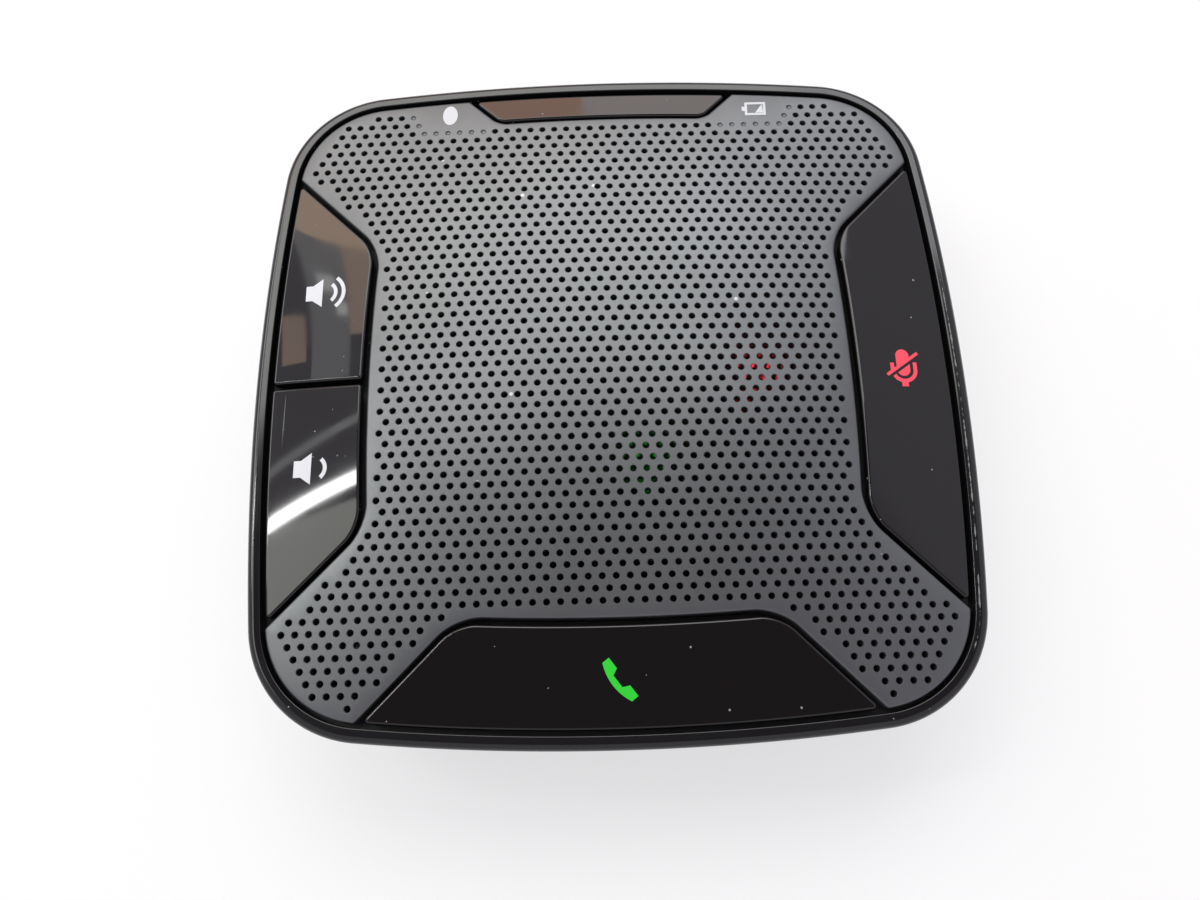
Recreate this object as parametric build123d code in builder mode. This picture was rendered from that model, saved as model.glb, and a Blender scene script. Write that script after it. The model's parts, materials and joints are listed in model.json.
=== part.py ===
from build123d import *

import os
from math import radians, sqrt, tan

# A square desk speakerphone: a bowl-shaped lower housing, a deck that carries the driver, the board
# and the keys, a crowned perforated grille with three key recesses, and a gloss bezel round it all.
# Millimetres. The origin is the centre of the footprint on the table, +Z is up, and +Y points at
# the name plate, away from the person who uses it.

# ---- Overall shape ---------------------------------------------------------------------------
WIDTH = 110.0  # outside width and depth, across the bezel
HEIGHT = 30.0  # table to the top of the crown
SIDE_RADIUS = 360.0  # plan radius of each gently bowed side
CORNER_RADIUS = 17.8  # plan radius of the outer corners
LEAST_CORNER = 1.0  # the smallest corner an inner outline may have
CROWN_RISE = 3.3  # how far the middle of the crown stands above its rim

# ---- Shells ----------------------------------------------------------------------------------
WALL = 2.0  # side wall of the lower housing
FLOOR = 2.0  # its floor
BASE_INSET = 11.0  # how far the foot of the side wall is drawn in
RIM_INSET = 0.4  # how far its rim is drawn in
SIDE_SECTIONS = 4  # spans of the loft up the side wall
FOOT_PROUD = 1.0  # how far the rubber foot stands below the floor
FOOT_SUNK = 1.0  # how far it is let into the floor
FOOT_INSET = 13.2
FOOT_WIDTH = 3.0
BEZEL_INNER = 2.0  # inset of the bezel's opening
BEZEL_PROUD = 0.3  # bezel top above the rim of the crown
BEZEL_HEIGHT = 4.5
BEZEL_ROUND = 1.1
BEZEL_BREAK = 0.3  # small chamfers on its other edges
DECK_INSET = 1.4
DECK_THICKNESS = 1.5
DECK_GAP = 0.2  # deck edge to bezel skirt
GRILLE_INSET = 2.6
GRILLE_SKIN = 1.5
GRILLE_SKIRT = 1.2

# ---- Key recesses and keys ---------------------------------------------------------------------
RECESS_EDGE = 37.1  # centre to the inner edge of a key recess
RECESS_SPREAD = 13.4  # its 45 degree sides cross the centre line this far out
RECESS_CORNER = 8.7
KEY_GAP_EDGE = 0.95  # gap along the inner edge
KEY_GAP_SIDE = 0.62  # gap along the 45 degree sides
KEY_INSET = 2.7  # inset of the keys' outer edge
KEY_THICKNESS = 1.6
KEY_SPLIT = 0.8  # gap between the two volume keys
PLATE_EDGE = 47.0  # the name plate's recess
PLATE_SPREAD = 29.2
PLATE_CORNER = 3.0
PLATE_GAP = 0.5
PLUNGER_OUT = 45.0  # centre of a key's plunger from the centre of the object
PLUNGER_RADIUS = 1.6
LEG_OUT = 43.0
LEG_WIDTH = 3.0
LEG_THICKNESS = 1.2
LEG_HOOK = 0.8
LEG_HOOK_HEIGHT = 0.5
HOOK_GAP = 0.4  # hook to the underside of the deck
WINDOW_GAP = 0.35  # round legs and plungers in the deck

# ---- Grille holes ------------------------------------------------------------------------------
HOLE_PITCH = 2.0
HOLE_DIAMETER = 1.0
PIN_RADIUS = 0.9  # stakes that hold the grille to the deck
PIN_CLEARANCE = 0.05
PIN_TAIL = 0.5  # stake end below the deck
PIN_CORNER = 43.0
PIN_SIDE = 31.0

# ---- Driver --------------------------------------------------------------------------------------
FLANGE_THICKNESS = 1.0
EAR_OUT = 26.6  # centre of each screw ear
EAR_RADIUS = 2.6
BASKET_RADIUS = 21.8
BASKET_WALL = 0.8
BASKET_DEPTH = 7.1
BASKET_FLOOR = 0.8
BASKET_STEP = 1.0  # height of the ledge that the spider is glued to
STEP_WIDTH = 4.5
BASKET_HOLE = 10.0
BASKET_WINDOWS = 6
RIM_THICKNESS = 0.3  # paper and rubber parts
GASKET_THICKNESS = 0.6
GASKET_WIDTH = 1.2
ROLL_RADIUS = 1.6  # surround half roll
CONE_LIP = 1.1
CONE_WALL = 0.35
CONE_DEPTH = 4.1
CAP_RADIUS = 8.2
CAP_RISE = 2.6
CAP_RIM = 0.4
POLE_RADIUS = 6.2
POLE_GAP = 0.4  # pole to former, and winding to top plate
FORMER_WALL = 0.2
WINDING_WALL = 0.5
WINDING_HEIGHT = 3.0
SPIDER_WAVES = 3
SPIDER_WAVE_HEIGHT = 0.45
SPIDER_CLEARANCE = 0.05
TOP_PLATE_RADIUS = 14.0
TOP_PLATE_THICKNESS = 2.0
MAGNET_RADIUS = 15.0
MAGNET_BORE = 9.5
MAGNET_THICKNESS = 4.0
YOKE_RADIUS = 14.5
YOKE_THICKNESS = 2.0
TERMINAL_WIDTH = 6.0
TERMINAL_DEPTH = 3.0
TERMINAL_HEIGHT = 2.6
TERMINAL_DROP = 0.5  # below the flange

# ---- Board and what it carries -------------------------------------------------------------------
BOARD_INSET = 4.0
BOARD_THICKNESS = 1.6
BOARD_DROP = 3.5  # top of the board below the deck
BOARD_HOLE = 30.5
SWITCH_SIZE = 6.0
SWITCH_HEIGHT = 2.0
SWITCH_BORE_DEPTH = 1.2
ACTUATOR_RADIUS = 1.5
ACTUATOR_CLEARANCE = 0.05
ACTUATOR_PROUD = 0.5
ACTUATOR_SUNK = 0.7
LED_LENGTH = 2.0
LED_WIDTH = 1.25
LED_HEIGHT = 0.8
LED_GAP = 0.3
SYMBOL_OUT = 45.3  # centre of each lit key symbol
SYMBOL_STROKE = 0.55
CAPSULE_LENGTH = 4.2
CAPSULE_WIDTH = 2.0
CAPSULE_RISE = 0.9  # middle of the capsule above the middle of the symbol
CRADLE_RADIUS = 1.8
CRADLE_RISE = 0.3
STEM_LENGTH = 1.6
STEM_DROP = 2.2
STROKE_LENGTH = 7.0
STROKE_ANGLE = 35.0
GRIP_CENTRE = (2.6, 2.2)  # middle of the arc of the handset's grip
GRIP_RADIUS = 4.1
GRIP_WIDTH = 1.2
GRIP_TURN = 38.0  # tilt of the handset
EARPIECE = (2.3, 1.7, 0.5)  # length, depth and corner of each end
EARPIECE_SPOTS = ((-1.2, 2.6), (2.0, -2.1))
EARPIECE_TURN = 52.0
GUIDE_RADIUS = 2.2
GUIDE_FLANGE = 0.8
GUIDE_CLEARANCE = 0.05
GUIDE_AIR = 0.7  # from the guide to the key's underside
STATUS_SPOT = (-25.7, 48.7)
STATUS_RADII = (1.5, 2.0)
BATTERY_SPOT = (26.1, 48.4)
BATTERY_WINDOW = (4.4, 2.9)
PIPE_RADIUS = 1.2
WINDOW_FIT = 0.03
MIC_SPOT = (38.0, -40.0)
MIC_RADIUS = 3.0
MIC_HEIGHT = 2.7
BOOT_WALL = 1.0
BOOT_PORT = 0.8
RADIO_SIZE = (14.0, 10.0, 2.2)
RADIO_SPOT = (0.0, 40.5)
PROCESSOR_SIZE = (10.0, 10.0, 1.2)
PROCESSOR_SPOT = (0.0, -40.5)
CHARGER_SIZE = (5.0, 5.0, 1.0)
CHARGER_SPOT = (4.0, 43.0)
PASSIVE_SIZE = (2.0, 1.25, 0.9)
PASSIVE_PITCH = 4.0
CONNECTOR_SIZE = (5.0, 5.0, 2.6)
BATTERY_CONNECTOR_SPOT = (-38.0, -8.0)
SPEAKER_CONNECTOR_SPOT = (-36.5, 0.6)
PORT_OUT = 20.0  # socket and power switch, each side of the middle of the back
PORT_SETBACK = 0.6  # from the edge of the board
SOCKET_SIZE = (7.5, 5.6, 2.9)
SOCKET_WALL = 0.3
SOCKET_TONGUE = (5.0, 4.2, 0.6)
SOCKET_RECESS = (10.6, 5.6)
SOCKET_RECESS_RAISE = 0.1  # middle of the recess above the middle of the socket
SLIDER_SIZE = (10.0, 4.0, 3.5)
KNOB_STEM = (3.0, 2.0)
KNOB_PAD = (4.0, 3.0, 1.2)
KNOB_TRAVEL = 3.0
KNOB_CLEARANCE = 0.05
KNOB_SINK = 2.2  # stem inside the switch
SLOT_GAP = 0.35
THUMB_RECESS = (9.0, 4.4)
THUMB_REACH = 2.3556  # from the edge that carries the switch to the floor of the thumb recess
PAD_LIFT = 0.2

# ---- Battery -------------------------------------------------------------------------------------
CELL_SIZE = (50.0, 24.0, 5.5)
CELL_SPOT = (0.0, -30.0)
CELL_PAD = 0.5
CELL_EDGE = 1.5
RIB_HEIGHT = 2.0
RIB_WALL = 1.0
RIB_GAP = 0.3
BATTERY_LEAD_DIAMETER = 1.2
SPEAKER_LEAD_DIAMETER = 1.0

# ---- Screws ------------------------------------------------------------------------------------
SHANK_RADIUS = 0.85
THREAD_CLEARANCE = 0.05
PASS_CLEARANCE = 0.35
HEAD_RADIUS = 1.8
HEAD_HEIGHT = 1.3
DRIVE_RADIUS = 0.7
DRIVE_DEPTH = 0.7
BLIND_STOCK = 0.5  # material left over the end of a blind bore
CASE_SCREW_OUT = 33.0
CASE_POST_RADIUS = 3.4
CASE_WEB_TOP = 20.0
CASE_WEB = 3.0
BOARD_SCREW_SPOT = (36.0, 22.0)
BOARD_POST_RADIUS = 2.4
EAR_BOSS_HEIGHT = 2.0  # above the deck

# ---- Levels, all from the values above -----------------------------------------------------------
FLOOR_TOP = FOOT_PROUD + FLOOR
CROWN_RIM = HEIGHT - CROWN_RISE
CROWN_HALF = WIDTH / 2 - GRILLE_INSET
BEZEL_TOP = CROWN_RIM + BEZEL_PROUD
PARTING = BEZEL_TOP - BEZEL_HEIGHT
DECK_TOP = PARTING + DECK_THICKNESS
BOARD_TOP = PARTING - BOARD_DROP
BOARD_BOTTOM = BOARD_TOP - BOARD_THICKNESS
FLANGE_TOP = PARTING - GASKET_THICKNESS - RIM_THICKNESS
BASKET_BOTTOM = FLANGE_TOP - BASKET_DEPTH
SPIDER_LEVEL = BASKET_BOTTOM + BASKET_FLOOR + BASKET_STEP
PLATE_BOTTOM = BASKET_BOTTOM - TOP_PLATE_THICKNESS
MAGNET_BOTTOM = PLATE_BOTTOM - MAGNET_THICKNESS
YOKE_BOTTOM = MAGNET_BOTTOM - YOKE_THICKNESS
SWITCH_TOP = BOARD_TOP + SWITCH_HEIGHT
ACTUATOR_TOP = SWITCH_TOP + ACTUATOR_PROUD
BACK_EDGE = WIDTH / 2 - BOARD_INSET - PORT_OUT**2 / (2 * SIDE_RADIUS) - PORT_SETBACK
THUMB_FLOOR = BACK_EDGE + THUMB_REACH
FORMER_INNER = POLE_RADIUS + POLE_GAP
FORMER_OUTER = FORMER_INNER + FORMER_WALL
WINDING_OUTER = FORMER_OUTER + WINDING_WALL
BASKET_INNER = BASKET_RADIUS - BASKET_WALL
CONE_EDGE = BASKET_INNER - 2 * ROLL_RADIUS
CONE_FOOT = CONE_EDGE - CONE_LIP
CONE_BOTTOM = FLANGE_TOP - CONE_DEPTH
RIM_OUTER = EAR_OUT - EAR_RADIUS - DECK_GAP

# Sides of the object, as turns about +Z from +X.
RIGHT, BACK, LEFT, FRONT = 0, 90, 180, 270
KEY_SIDES = (RIGHT, LEFT, FRONT)

os.makedirs("parts", exist_ok=True)


def keep(piece, name):
    """Label a finished piece and write its STEP file."""
    piece.part.label = name
    export_step(piece.part, f"parts/{name}.step")


# ---- Shared shapes ---------------------------------------------------------------------------


def outline(inset):
    """The plan of the object, with bowed sides and round corners, drawn in by inset."""
    half = WIDTH / 2 - inset
    side = SIDE_RADIUS - inset
    corner = (half - side + sqrt(2 * side**2 - (half - side) ** 2)) / 2
    with BuildSketch() as plan:
        with BuildLine():
            for turn in (RIGHT, BACK, LEFT, FRONT):
                start, middle, end = (
                    Vector(x, y).rotate(Axis.Z, turn)
                    for x, y in ((corner, -corner), (half, 0), (corner, corner))
                )
                ThreePointArc(start, middle, end)
        make_face()
        fillet(plan.vertices(), max(CORNER_RADIUS - inset, LEAST_CORNER))
    return plan.sketch


def recess(edge, spread, corner, edge_grow=0.0, side_grow=0.0):
    """A recess in the right-hand side: a bowed inner edge between two 45 degree sides."""
    inner = edge - edge_grow
    cross = spread - side_grow * sqrt(2)
    bow = SIDE_RADIUS - WIDTH / 2 + inner
    half = bow * (sqrt(1 + 2 * (inner - cross) / bow) - 1)
    outer = WIDTH / 2 + 2 * KEY_THICKNESS
    with BuildSketch() as plan:
        with BuildLine():
            ThreePointArc((cross + half, -half), (inner, 0), (cross + half, half))
            Polyline(
                (cross + half, half),
                (outer, outer - cross),
                (outer, cross - outer),
                (cross + half, -half),
            )
        make_face()
        fillet(plan.vertices().sort_by(Axis.X)[:2], corner)
    return plan.sketch


def key_recess(grow=0.0):
    """Recess for the keys of one side, grown all round."""
    return recess(RECESS_EDGE, RECESS_SPREAD, RECESS_CORNER + grow, grow, grow)


def plate_recess(grow=0.0):
    """Recess for the name plate, grown all round."""
    return recess(PLATE_EDGE, PLATE_SPREAD, PLATE_CORNER + grow, grow, grow)


def grille_plan(shrink=0.0):
    """The grille's X-shaped plan, drawn in by shrink."""
    with BuildSketch() as plan:
        add(outline(GRILLE_INSET + shrink))
        for side in KEY_SIDES:
            add(key_recess(shrink), rotation=side, mode=Mode.SUBTRACT)
        add(plate_recess(shrink), rotation=BACK, mode=Mode.SUBTRACT)
    return plan.sketch


def crown_height(x, y):
    """Height of the crown over a point: a product of two parabolas that are flat along the rim."""
    return CROWN_RIM + CROWN_RISE * (1 - (x / CROWN_HALF) ** 2) * (1 - (y / CROWN_HALF) ** 2)


def under_crown(drop, depth=HEIGHT):
    """A solid of even depth whose top is the crown, lowered by drop."""
    reach = WIDTH / 2 + KEY_THICKNESS
    fall = 1 - (reach / CROWN_HALF) ** 2
    stations = list(zip((-reach, 0, reach), (fall, 2 - fall, fall)))
    net = [
        [Vector(x, y, CROWN_RIM - drop + CROWN_RISE * p * q) for y, q in stations]
        for x, p in stations
    ]
    return Solid.extrude(Face.make_bezier_surface(net), Vector(0, 0, -depth))


def side_inset(level):
    """How far the side wall is drawn in at a level: a parabola from the base to the parting line."""
    rise = (level - FOOT_PROUD) / (PARTING - FOOT_PROUD)
    return RIM_INSET + (BASE_INSET - RIM_INSET) * (1 - rise) ** 2


def bowl(bottom, wall):
    """A solid as wide as the side wall drawn in by wall, from bottom up to the parting line."""
    with BuildPart() as solid:
        for index in range(SIDE_SECTIONS + 1):
            level = bottom + (PARTING - bottom) * index / SIDE_SECTIONS
            with BuildSketch(Plane.XY.offset(level)):
                add(outline(side_inset(level) + wall))
        loft()
    return solid.part


def side_plane(side, level):
    """A plane at a level whose X points out through the middle of a side."""
    return Plane.XY.offset(level).rotated((0, 0, side))


def four_corners(x, y):
    """The four mirror images of a spot."""
    return [(x, y), (-x, y), (-x, -y), (x, -y)]


def turned(points):
    """A ring made by turning a closed outline, given as radius and height, about Z."""
    with BuildPart() as ring:
        with BuildSketch(Plane.XZ):
            with BuildLine():
                Polyline(*points, close=True)
            make_face()
        revolve(axis=Axis.Z)
    return ring


def block(size, spot, bottom):
    """An upright box by its size, the spot under its centre and the level of its bottom."""
    with BuildPart() as solid:
        with Locations((*spot, bottom)):
            Box(*size, align=(Align.CENTER, Align.CENTER, Align.MIN))
    return solid


def screws(spots, seat, length):
    """Pan-head screws driven upwards, with the underside of each head at the seat."""
    with BuildPart() as group:
        with BuildSketch(Plane.XY.offset(seat)):
            with Locations(*spots):
                Circle(SHANK_RADIUS)
        extrude(amount=length)
        with BuildSketch(Plane.XY.offset(seat - HEAD_HEIGHT)):
            with Locations(*spots):
                Circle(HEAD_RADIUS)
        extrude(amount=HEAD_HEIGHT)
        chamfer(group.edges().group_by(Axis.Z)[0], HEAD_HEIGHT / 4)
        with BuildSketch(Plane.XY.offset(seat - HEAD_HEIGHT)):
            with Locations(*spots):
                RegularPolygon(DRIVE_RADIUS, 6)
        extrude(amount=DRIVE_DEPTH, mode=Mode.SUBTRACT)
    return group


def lead(points, diameter):
    """A round lead along straight runs joined by the widest arcs that fit."""
    corners = []
    for before, here, after in zip(points, points[1:], points[2:]):
        first = Vector(here) - Vector(before)
        second = Vector(after) - Vector(here)
        turn = radians(first.get_angle(second))
        corners.append(0.45 * min(first.length, second.length) / tan(turn / 2))
    print("lead radii, mm:", [round(radius, 2) for radius in corners])
    with BuildPart() as tube:
        with BuildLine() as route:
            FilletPolyline(*points, radius=corners)
        with BuildSketch(Plane(origin=route.line @ 0, z_dir=route.line % 0)):
            Circle(diameter / 2)
        sweep(path=route.line)
    return tube


# ---- Lower housing and foot --------------------------------------------------------------------
case_spots = four_corners(CASE_SCREW_OUT, CASE_SCREW_OUT)
switch_level = BOARD_BOTTOM - SLIDER_SIZE[2] / 2
socket_level = BOARD_BOTTOM - SOCKET_SIZE[2] / 2
slot_length = KNOB_STEM[0] + KNOB_TRAVEL + 2 * SLOT_GAP
knob_rest = -PORT_OUT - KNOB_TRAVEL / 2

with BuildPart() as lower_housing:
    add(bowl(FOOT_PROUD, 0))
    add(bowl(FLOOR_TOP, WALL), mode=Mode.SUBTRACT)
    with BuildSketch(Plane.XY.offset(FLOOR_TOP)):
        with Locations(*case_spots):
            Circle(CASE_POST_RADIUS)
    extrude(amount=CASE_WEB_TOP - FLOOR_TOP)
    with BuildSketch(Plane.XY.offset(FLOOR_TOP)):
        with Locations(CELL_SPOT):
            Rectangle(CELL_SIZE[0] + 2 * (RIB_GAP + RIB_WALL), CELL_SIZE[1] + 2 * (RIB_GAP + RIB_WALL))
            Rectangle(CELL_SIZE[0] + 2 * RIB_GAP, CELL_SIZE[1] + 2 * RIB_GAP, mode=Mode.SUBTRACT)
    extrude(amount=RIB_HEIGHT)
    # Screw wells and the clearance holes through their webs.
    with BuildSketch(Plane.XY.offset(FOOT_PROUD)):
        with Locations(*case_spots):
            Circle(HEAD_RADIUS + PASS_CLEARANCE)
    extrude(amount=CASE_WEB_TOP - CASE_WEB - FOOT_PROUD, mode=Mode.SUBTRACT)
    with BuildSketch(Plane.XY.offset(FOOT_PROUD)):
        with Locations(*case_spots):
            Circle(SHANK_RADIUS + PASS_CLEARANCE)
    extrude(amount=CASE_WEB_TOP, mode=Mode.SUBTRACT)
    # Groove for the foot.
    with BuildSketch(Plane.XY.offset(FOOT_PROUD)):
        add(outline(FOOT_INSET))
        add(outline(FOOT_INSET + FOOT_WIDTH), mode=Mode.SUBTRACT)
    extrude(amount=FOOT_SUNK, mode=Mode.SUBTRACT)
    # Recess for the charging plug, then the power switch's slot and thumb recess, in the back wall.
    with Locations((PORT_OUT, WIDTH / 2, socket_level + SOCKET_RECESS_RAISE)):
        Box(SOCKET_RECESS[0], 4 * WALL + 2, SOCKET_RECESS[1], mode=Mode.SUBTRACT)
    with Locations((-PORT_OUT, WIDTH / 2, switch_level)):
        Box(slot_length, 4 * WALL + 2, KNOB_STEM[1] + 2 * SLOT_GAP, mode=Mode.SUBTRACT)
    with Locations((-PORT_OUT, THUMB_FLOOR, switch_level)):
        Box(
            THUMB_RECESS[0],
            2 * WALL,
            THUMB_RECESS[1],
            align=(Align.CENTER, Align.MIN, Align.CENTER),
            mode=Mode.SUBTRACT,
        )
keep(lower_housing, "lower_housing")

with BuildPart() as rubber_foot:
    with BuildSketch():
        add(outline(FOOT_INSET))
        add(outline(FOOT_INSET + FOOT_WIDTH), mode=Mode.SUBTRACT)
    extrude(amount=FOOT_PROUD + FOOT_SUNK)
    chamfer(rubber_foot.edges().group_by(Axis.Z)[0], FOOT_PROUD / 4)
keep(rubber_foot, "rubber_foot")

# ---- Bezel -------------------------------------------------------------------------------------
with BuildPart() as bezel:
    with BuildSketch(Plane.XY.offset(PARTING)):
        add(outline(0))
        add(outline(BEZEL_INNER), mode=Mode.SUBTRACT)
    extrude(amount=BEZEL_HEIGHT)
    with BuildSketch(Plane.XY.offset(PARTING)):
        add(outline(DECK_INSET - DECK_GAP))
    extrude(amount=DECK_THICKNESS, mode=Mode.SUBTRACT)
    top_rims = bezel.faces().sort_by(Axis.Z)[-1]
    fillet(top_rims.outer_wire().edges(), BEZEL_ROUND)
    chamfer(bezel.faces().sort_by(Axis.Z)[-1].inner_wires()[0].edges(), BEZEL_BREAK)
keep(bezel, "bezel")

# ---- Deck: carries the driver, the keys, the light guides and the board ----------------------------
leg_spots = {
    RIGHT: (-17.0, 17.0),
    LEFT: (-20.0, -4.6, 4.6, 20.0),
    FRONT: (-17.0, 17.0),
}
plunger_spots = {
    "volume_up": (LEFT, -12.0),
    "volume_down": (LEFT, 12.0),
    "mute": (RIGHT, 9.0),
    "call": (FRONT, 9.0),
}
pin_spots = four_corners(PIN_CORNER, PIN_CORNER) + [
    (PIN_SIDE, 0),
    (-PIN_SIDE, 0),
    (0, PIN_SIDE),
    (0, -PIN_SIDE),
]
ear_spots = four_corners(EAR_OUT / sqrt(2), EAR_OUT / sqrt(2))
board_spots = four_corners(*BOARD_SCREW_SPOT)
mic_spots = [MIC_SPOT, (-MIC_SPOT[0], MIC_SPOT[1])]
boot_radius = MIC_RADIUS + BOOT_WALL
leg_shift = LEG_HOOK / 2

with BuildPart() as inner_deck:
    with BuildSketch(Plane.XY.offset(PARTING)):
        add(outline(DECK_INSET))
    extrude(amount=DECK_THICKNESS)
    # Bosses above for the driver's screws, and posts below for the board and the case.
    with BuildSketch(Plane.XY.offset(FLANGE_TOP)):
        with Locations(*ear_spots):
            Circle(EAR_RADIUS - DECK_GAP)
    extrude(amount=DECK_TOP + EAR_BOSS_HEIGHT - FLANGE_TOP)
    with BuildSketch(Plane.XY.offset(BOARD_TOP)):
        with Locations(*board_spots):
            Circle(BOARD_POST_RADIUS)
    extrude(amount=BOARD_DROP)
    with BuildSketch(Plane.XY.offset(CASE_WEB_TOP)):
        with Locations(*case_spots):
            Circle(CASE_POST_RADIUS)
    extrude(amount=PARTING - CASE_WEB_TOP)
    # Opening over the driver's cone.
    with BuildSketch(Plane.XY.offset(PARTING)):
        Circle(RIM_OUTER - GASKET_WIDTH)
    extrude(amount=DECK_THICKNESS, mode=Mode.SUBTRACT)
    # Blind bores for the screws.
    for spots, bottom, top in (
        (ear_spots, FLANGE_TOP, DECK_TOP + EAR_BOSS_HEIGHT - BLIND_STOCK),
        (board_spots, BOARD_TOP, DECK_TOP - BLIND_STOCK),
        (case_spots, CASE_WEB_TOP, DECK_TOP - BLIND_STOCK),
    ):
        with BuildSketch(Plane.XY.offset(bottom)):
            with Locations(*spots):
                Circle(SHANK_RADIUS + THREAD_CLEARANCE)
        extrude(amount=top - bottom, mode=Mode.SUBTRACT)
    # Windows for the keys' legs and plungers.
    for side, along in leg_spots.items():
        with BuildSketch(side_plane(side, PARTING)):
            with Locations(*[(LEG_OUT, spot) for spot in along]):
                Rectangle(LEG_THICKNESS + 2 * WINDOW_GAP, LEG_WIDTH + 2 * WINDOW_GAP)
        extrude(amount=DECK_THICKNESS, mode=Mode.SUBTRACT)
    for side, spot in plunger_spots.values():
        with BuildSketch(side_plane(side, PARTING)):
            with Locations((PLUNGER_OUT, spot)):
                Circle(PLUNGER_RADIUS + WINDOW_GAP)
        extrude(amount=DECK_THICKNESS, mode=Mode.SUBTRACT)
    # Holes for the stakes, the light guides, the status windows and the microphones.
    with BuildSketch(Plane.XY.offset(PARTING)):
        with Locations(*pin_spots):
            Circle(PIN_RADIUS + PIN_CLEARANCE)
        with Locations((SYMBOL_OUT, 0), (0, -SYMBOL_OUT)):
            Circle(GUIDE_RADIUS + GUIDE_CLEARANCE)
        with Locations(STATUS_SPOT, BATTERY_SPOT):
            Circle(PIPE_RADIUS + GUIDE_CLEARANCE)
        with Locations(*mic_spots):
            Circle(boot_radius + WINDOW_FIT)
    extrude(amount=DECK_THICKNESS, mode=Mode.SUBTRACT)
keep(inner_deck, "inner_deck")

# ---- Grille ------------------------------------------------------------------------------------
def window_cutters(gap):
    """The plans of the two status windows in the grille, each grown by gap."""
    with BuildSketch() as plan:
        with Locations(STATUS_SPOT):
            Ellipse(STATUS_RADII[0] + gap, STATUS_RADII[1] + gap)
        with Locations(BATTERY_SPOT):
            Rectangle(BATTERY_WINDOW[0] + 2 * gap, BATTERY_WINDOW[1] + 2 * gap)
    return plan.sketch


def hole_field(radius):
    """Spots of a hexagonal field, rows along X, within a radius of the centre."""
    row_pitch = HOLE_PITCH * sqrt(3) / 2
    rows = int(radius / row_pitch)
    columns = int(radius / HOLE_PITCH) + 1
    spots = []
    for row in range(-rows, rows + 1):
        for column in range(-columns, columns + 1):
            spot = Vector((column + (row % 2) / 2) * HOLE_PITCH, row * row_pitch)
            if spot.length <= radius:
                spots.append(spot)
    return spots


with BuildPart() as grille_hollow:
    with BuildSketch(Plane.XY.offset(DECK_TOP - 1)):
        add(grille_plan(GRILLE_SKIRT))
    extrude(amount=HEIGHT - DECK_TOP)
    add(under_crown(GRILLE_SKIN), mode=Mode.INTERSECT)

with BuildPart() as speaker_grille:
    with BuildSketch(Plane.XY.offset(DECK_TOP)):
        add(grille_plan())
    extrude(amount=HEIGHT - DECK_TOP + 1)
    add(under_crown(0), mode=Mode.INTERSECT)
    add(grille_hollow.part, mode=Mode.SUBTRACT)
    for spot in pin_spots:
        with BuildSketch(Plane.XY.offset(PARTING - PIN_TAIL)):
            with Locations(spot):
                Circle(PIN_RADIUS)
        extrude(amount=crown_height(*spot) - GRILLE_SKIN / 2 - PARTING + PIN_TAIL)
    with BuildSketch(Plane.XY.offset(DECK_TOP)):
        add(window_cutters(WINDOW_FIT))
        with Locations(*hole_field(CONE_EDGE)):
            Circle(HOLE_DIAMETER / 2)
    extrude(amount=HEIGHT - DECK_TOP + 1, mode=Mode.SUBTRACT)
keep(speaker_grille, "speaker_grille")

with BuildPart() as name_plate:
    with BuildSketch(Plane.XY.offset(DECK_TOP)):
        add(plate_recess(-PLATE_GAP), rotation=BACK)
        add(outline(KEY_INSET), mode=Mode.INTERSECT)
    extrude(amount=HEIGHT - DECK_TOP)
    add(under_crown(0), mode=Mode.INTERSECT)
keep(name_plate, "name_plate")


def status_window(spot, plan):
    """A flush window in the grille on a light pipe that ends over a lamp."""
    with BuildPart() as window:
        with BuildSketch(Plane.XY.offset(DECK_TOP)):
            add(plan)
        extrude(amount=HEIGHT - DECK_TOP)
        add(under_crown(0), mode=Mode.INTERSECT)
        with BuildSketch(Plane.XY.offset(BOARD_TOP + LED_HEIGHT + LED_GAP)):
            with Locations(spot):
                Circle(PIPE_RADIUS)
        extrude(amount=DECK_TOP - BOARD_TOP - LED_HEIGHT - LED_GAP)
    return window


with BuildSketch() as oval_plan:
    with Locations(STATUS_SPOT):
        Ellipse(*STATUS_RADII)
with BuildSketch() as battery_plan:
    with Locations(BATTERY_SPOT):
        Rectangle(*BATTERY_WINDOW)
keep(status_window(STATUS_SPOT, oval_plan.sketch), "status_window")
keep(status_window(BATTERY_SPOT, battery_plan.sketch), "battery_window")


# ---- Keys --------------------------------------------------------------------------------------
def struck_microphone():
    """Capsule, cradle, stem and stroke of the mute symbol, about the origin, top towards +Y."""
    with BuildSketch() as plan:
        with Locations((0, CRADLE_RISE)):
            Circle(CRADLE_RADIUS + SYMBOL_STROKE / 2)
            Circle(CRADLE_RADIUS - SYMBOL_STROKE / 2, mode=Mode.SUBTRACT)
            Rectangle(
                3 * CRADLE_RADIUS,
                2 * CRADLE_RADIUS,
                align=(Align.CENTER, Align.MIN),
                mode=Mode.SUBTRACT,
            )
        with Locations((0, CAPSULE_RISE)):
            SlotOverall(CAPSULE_LENGTH, CAPSULE_WIDTH, rotation=90)
        with Locations((0, -STEM_DROP)):
            Rectangle(SYMBOL_STROKE, STEM_LENGTH)
        SlotOverall(STROKE_LENGTH, SYMBOL_STROKE, rotation=STROKE_ANGLE)
    return plan.sketch


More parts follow.
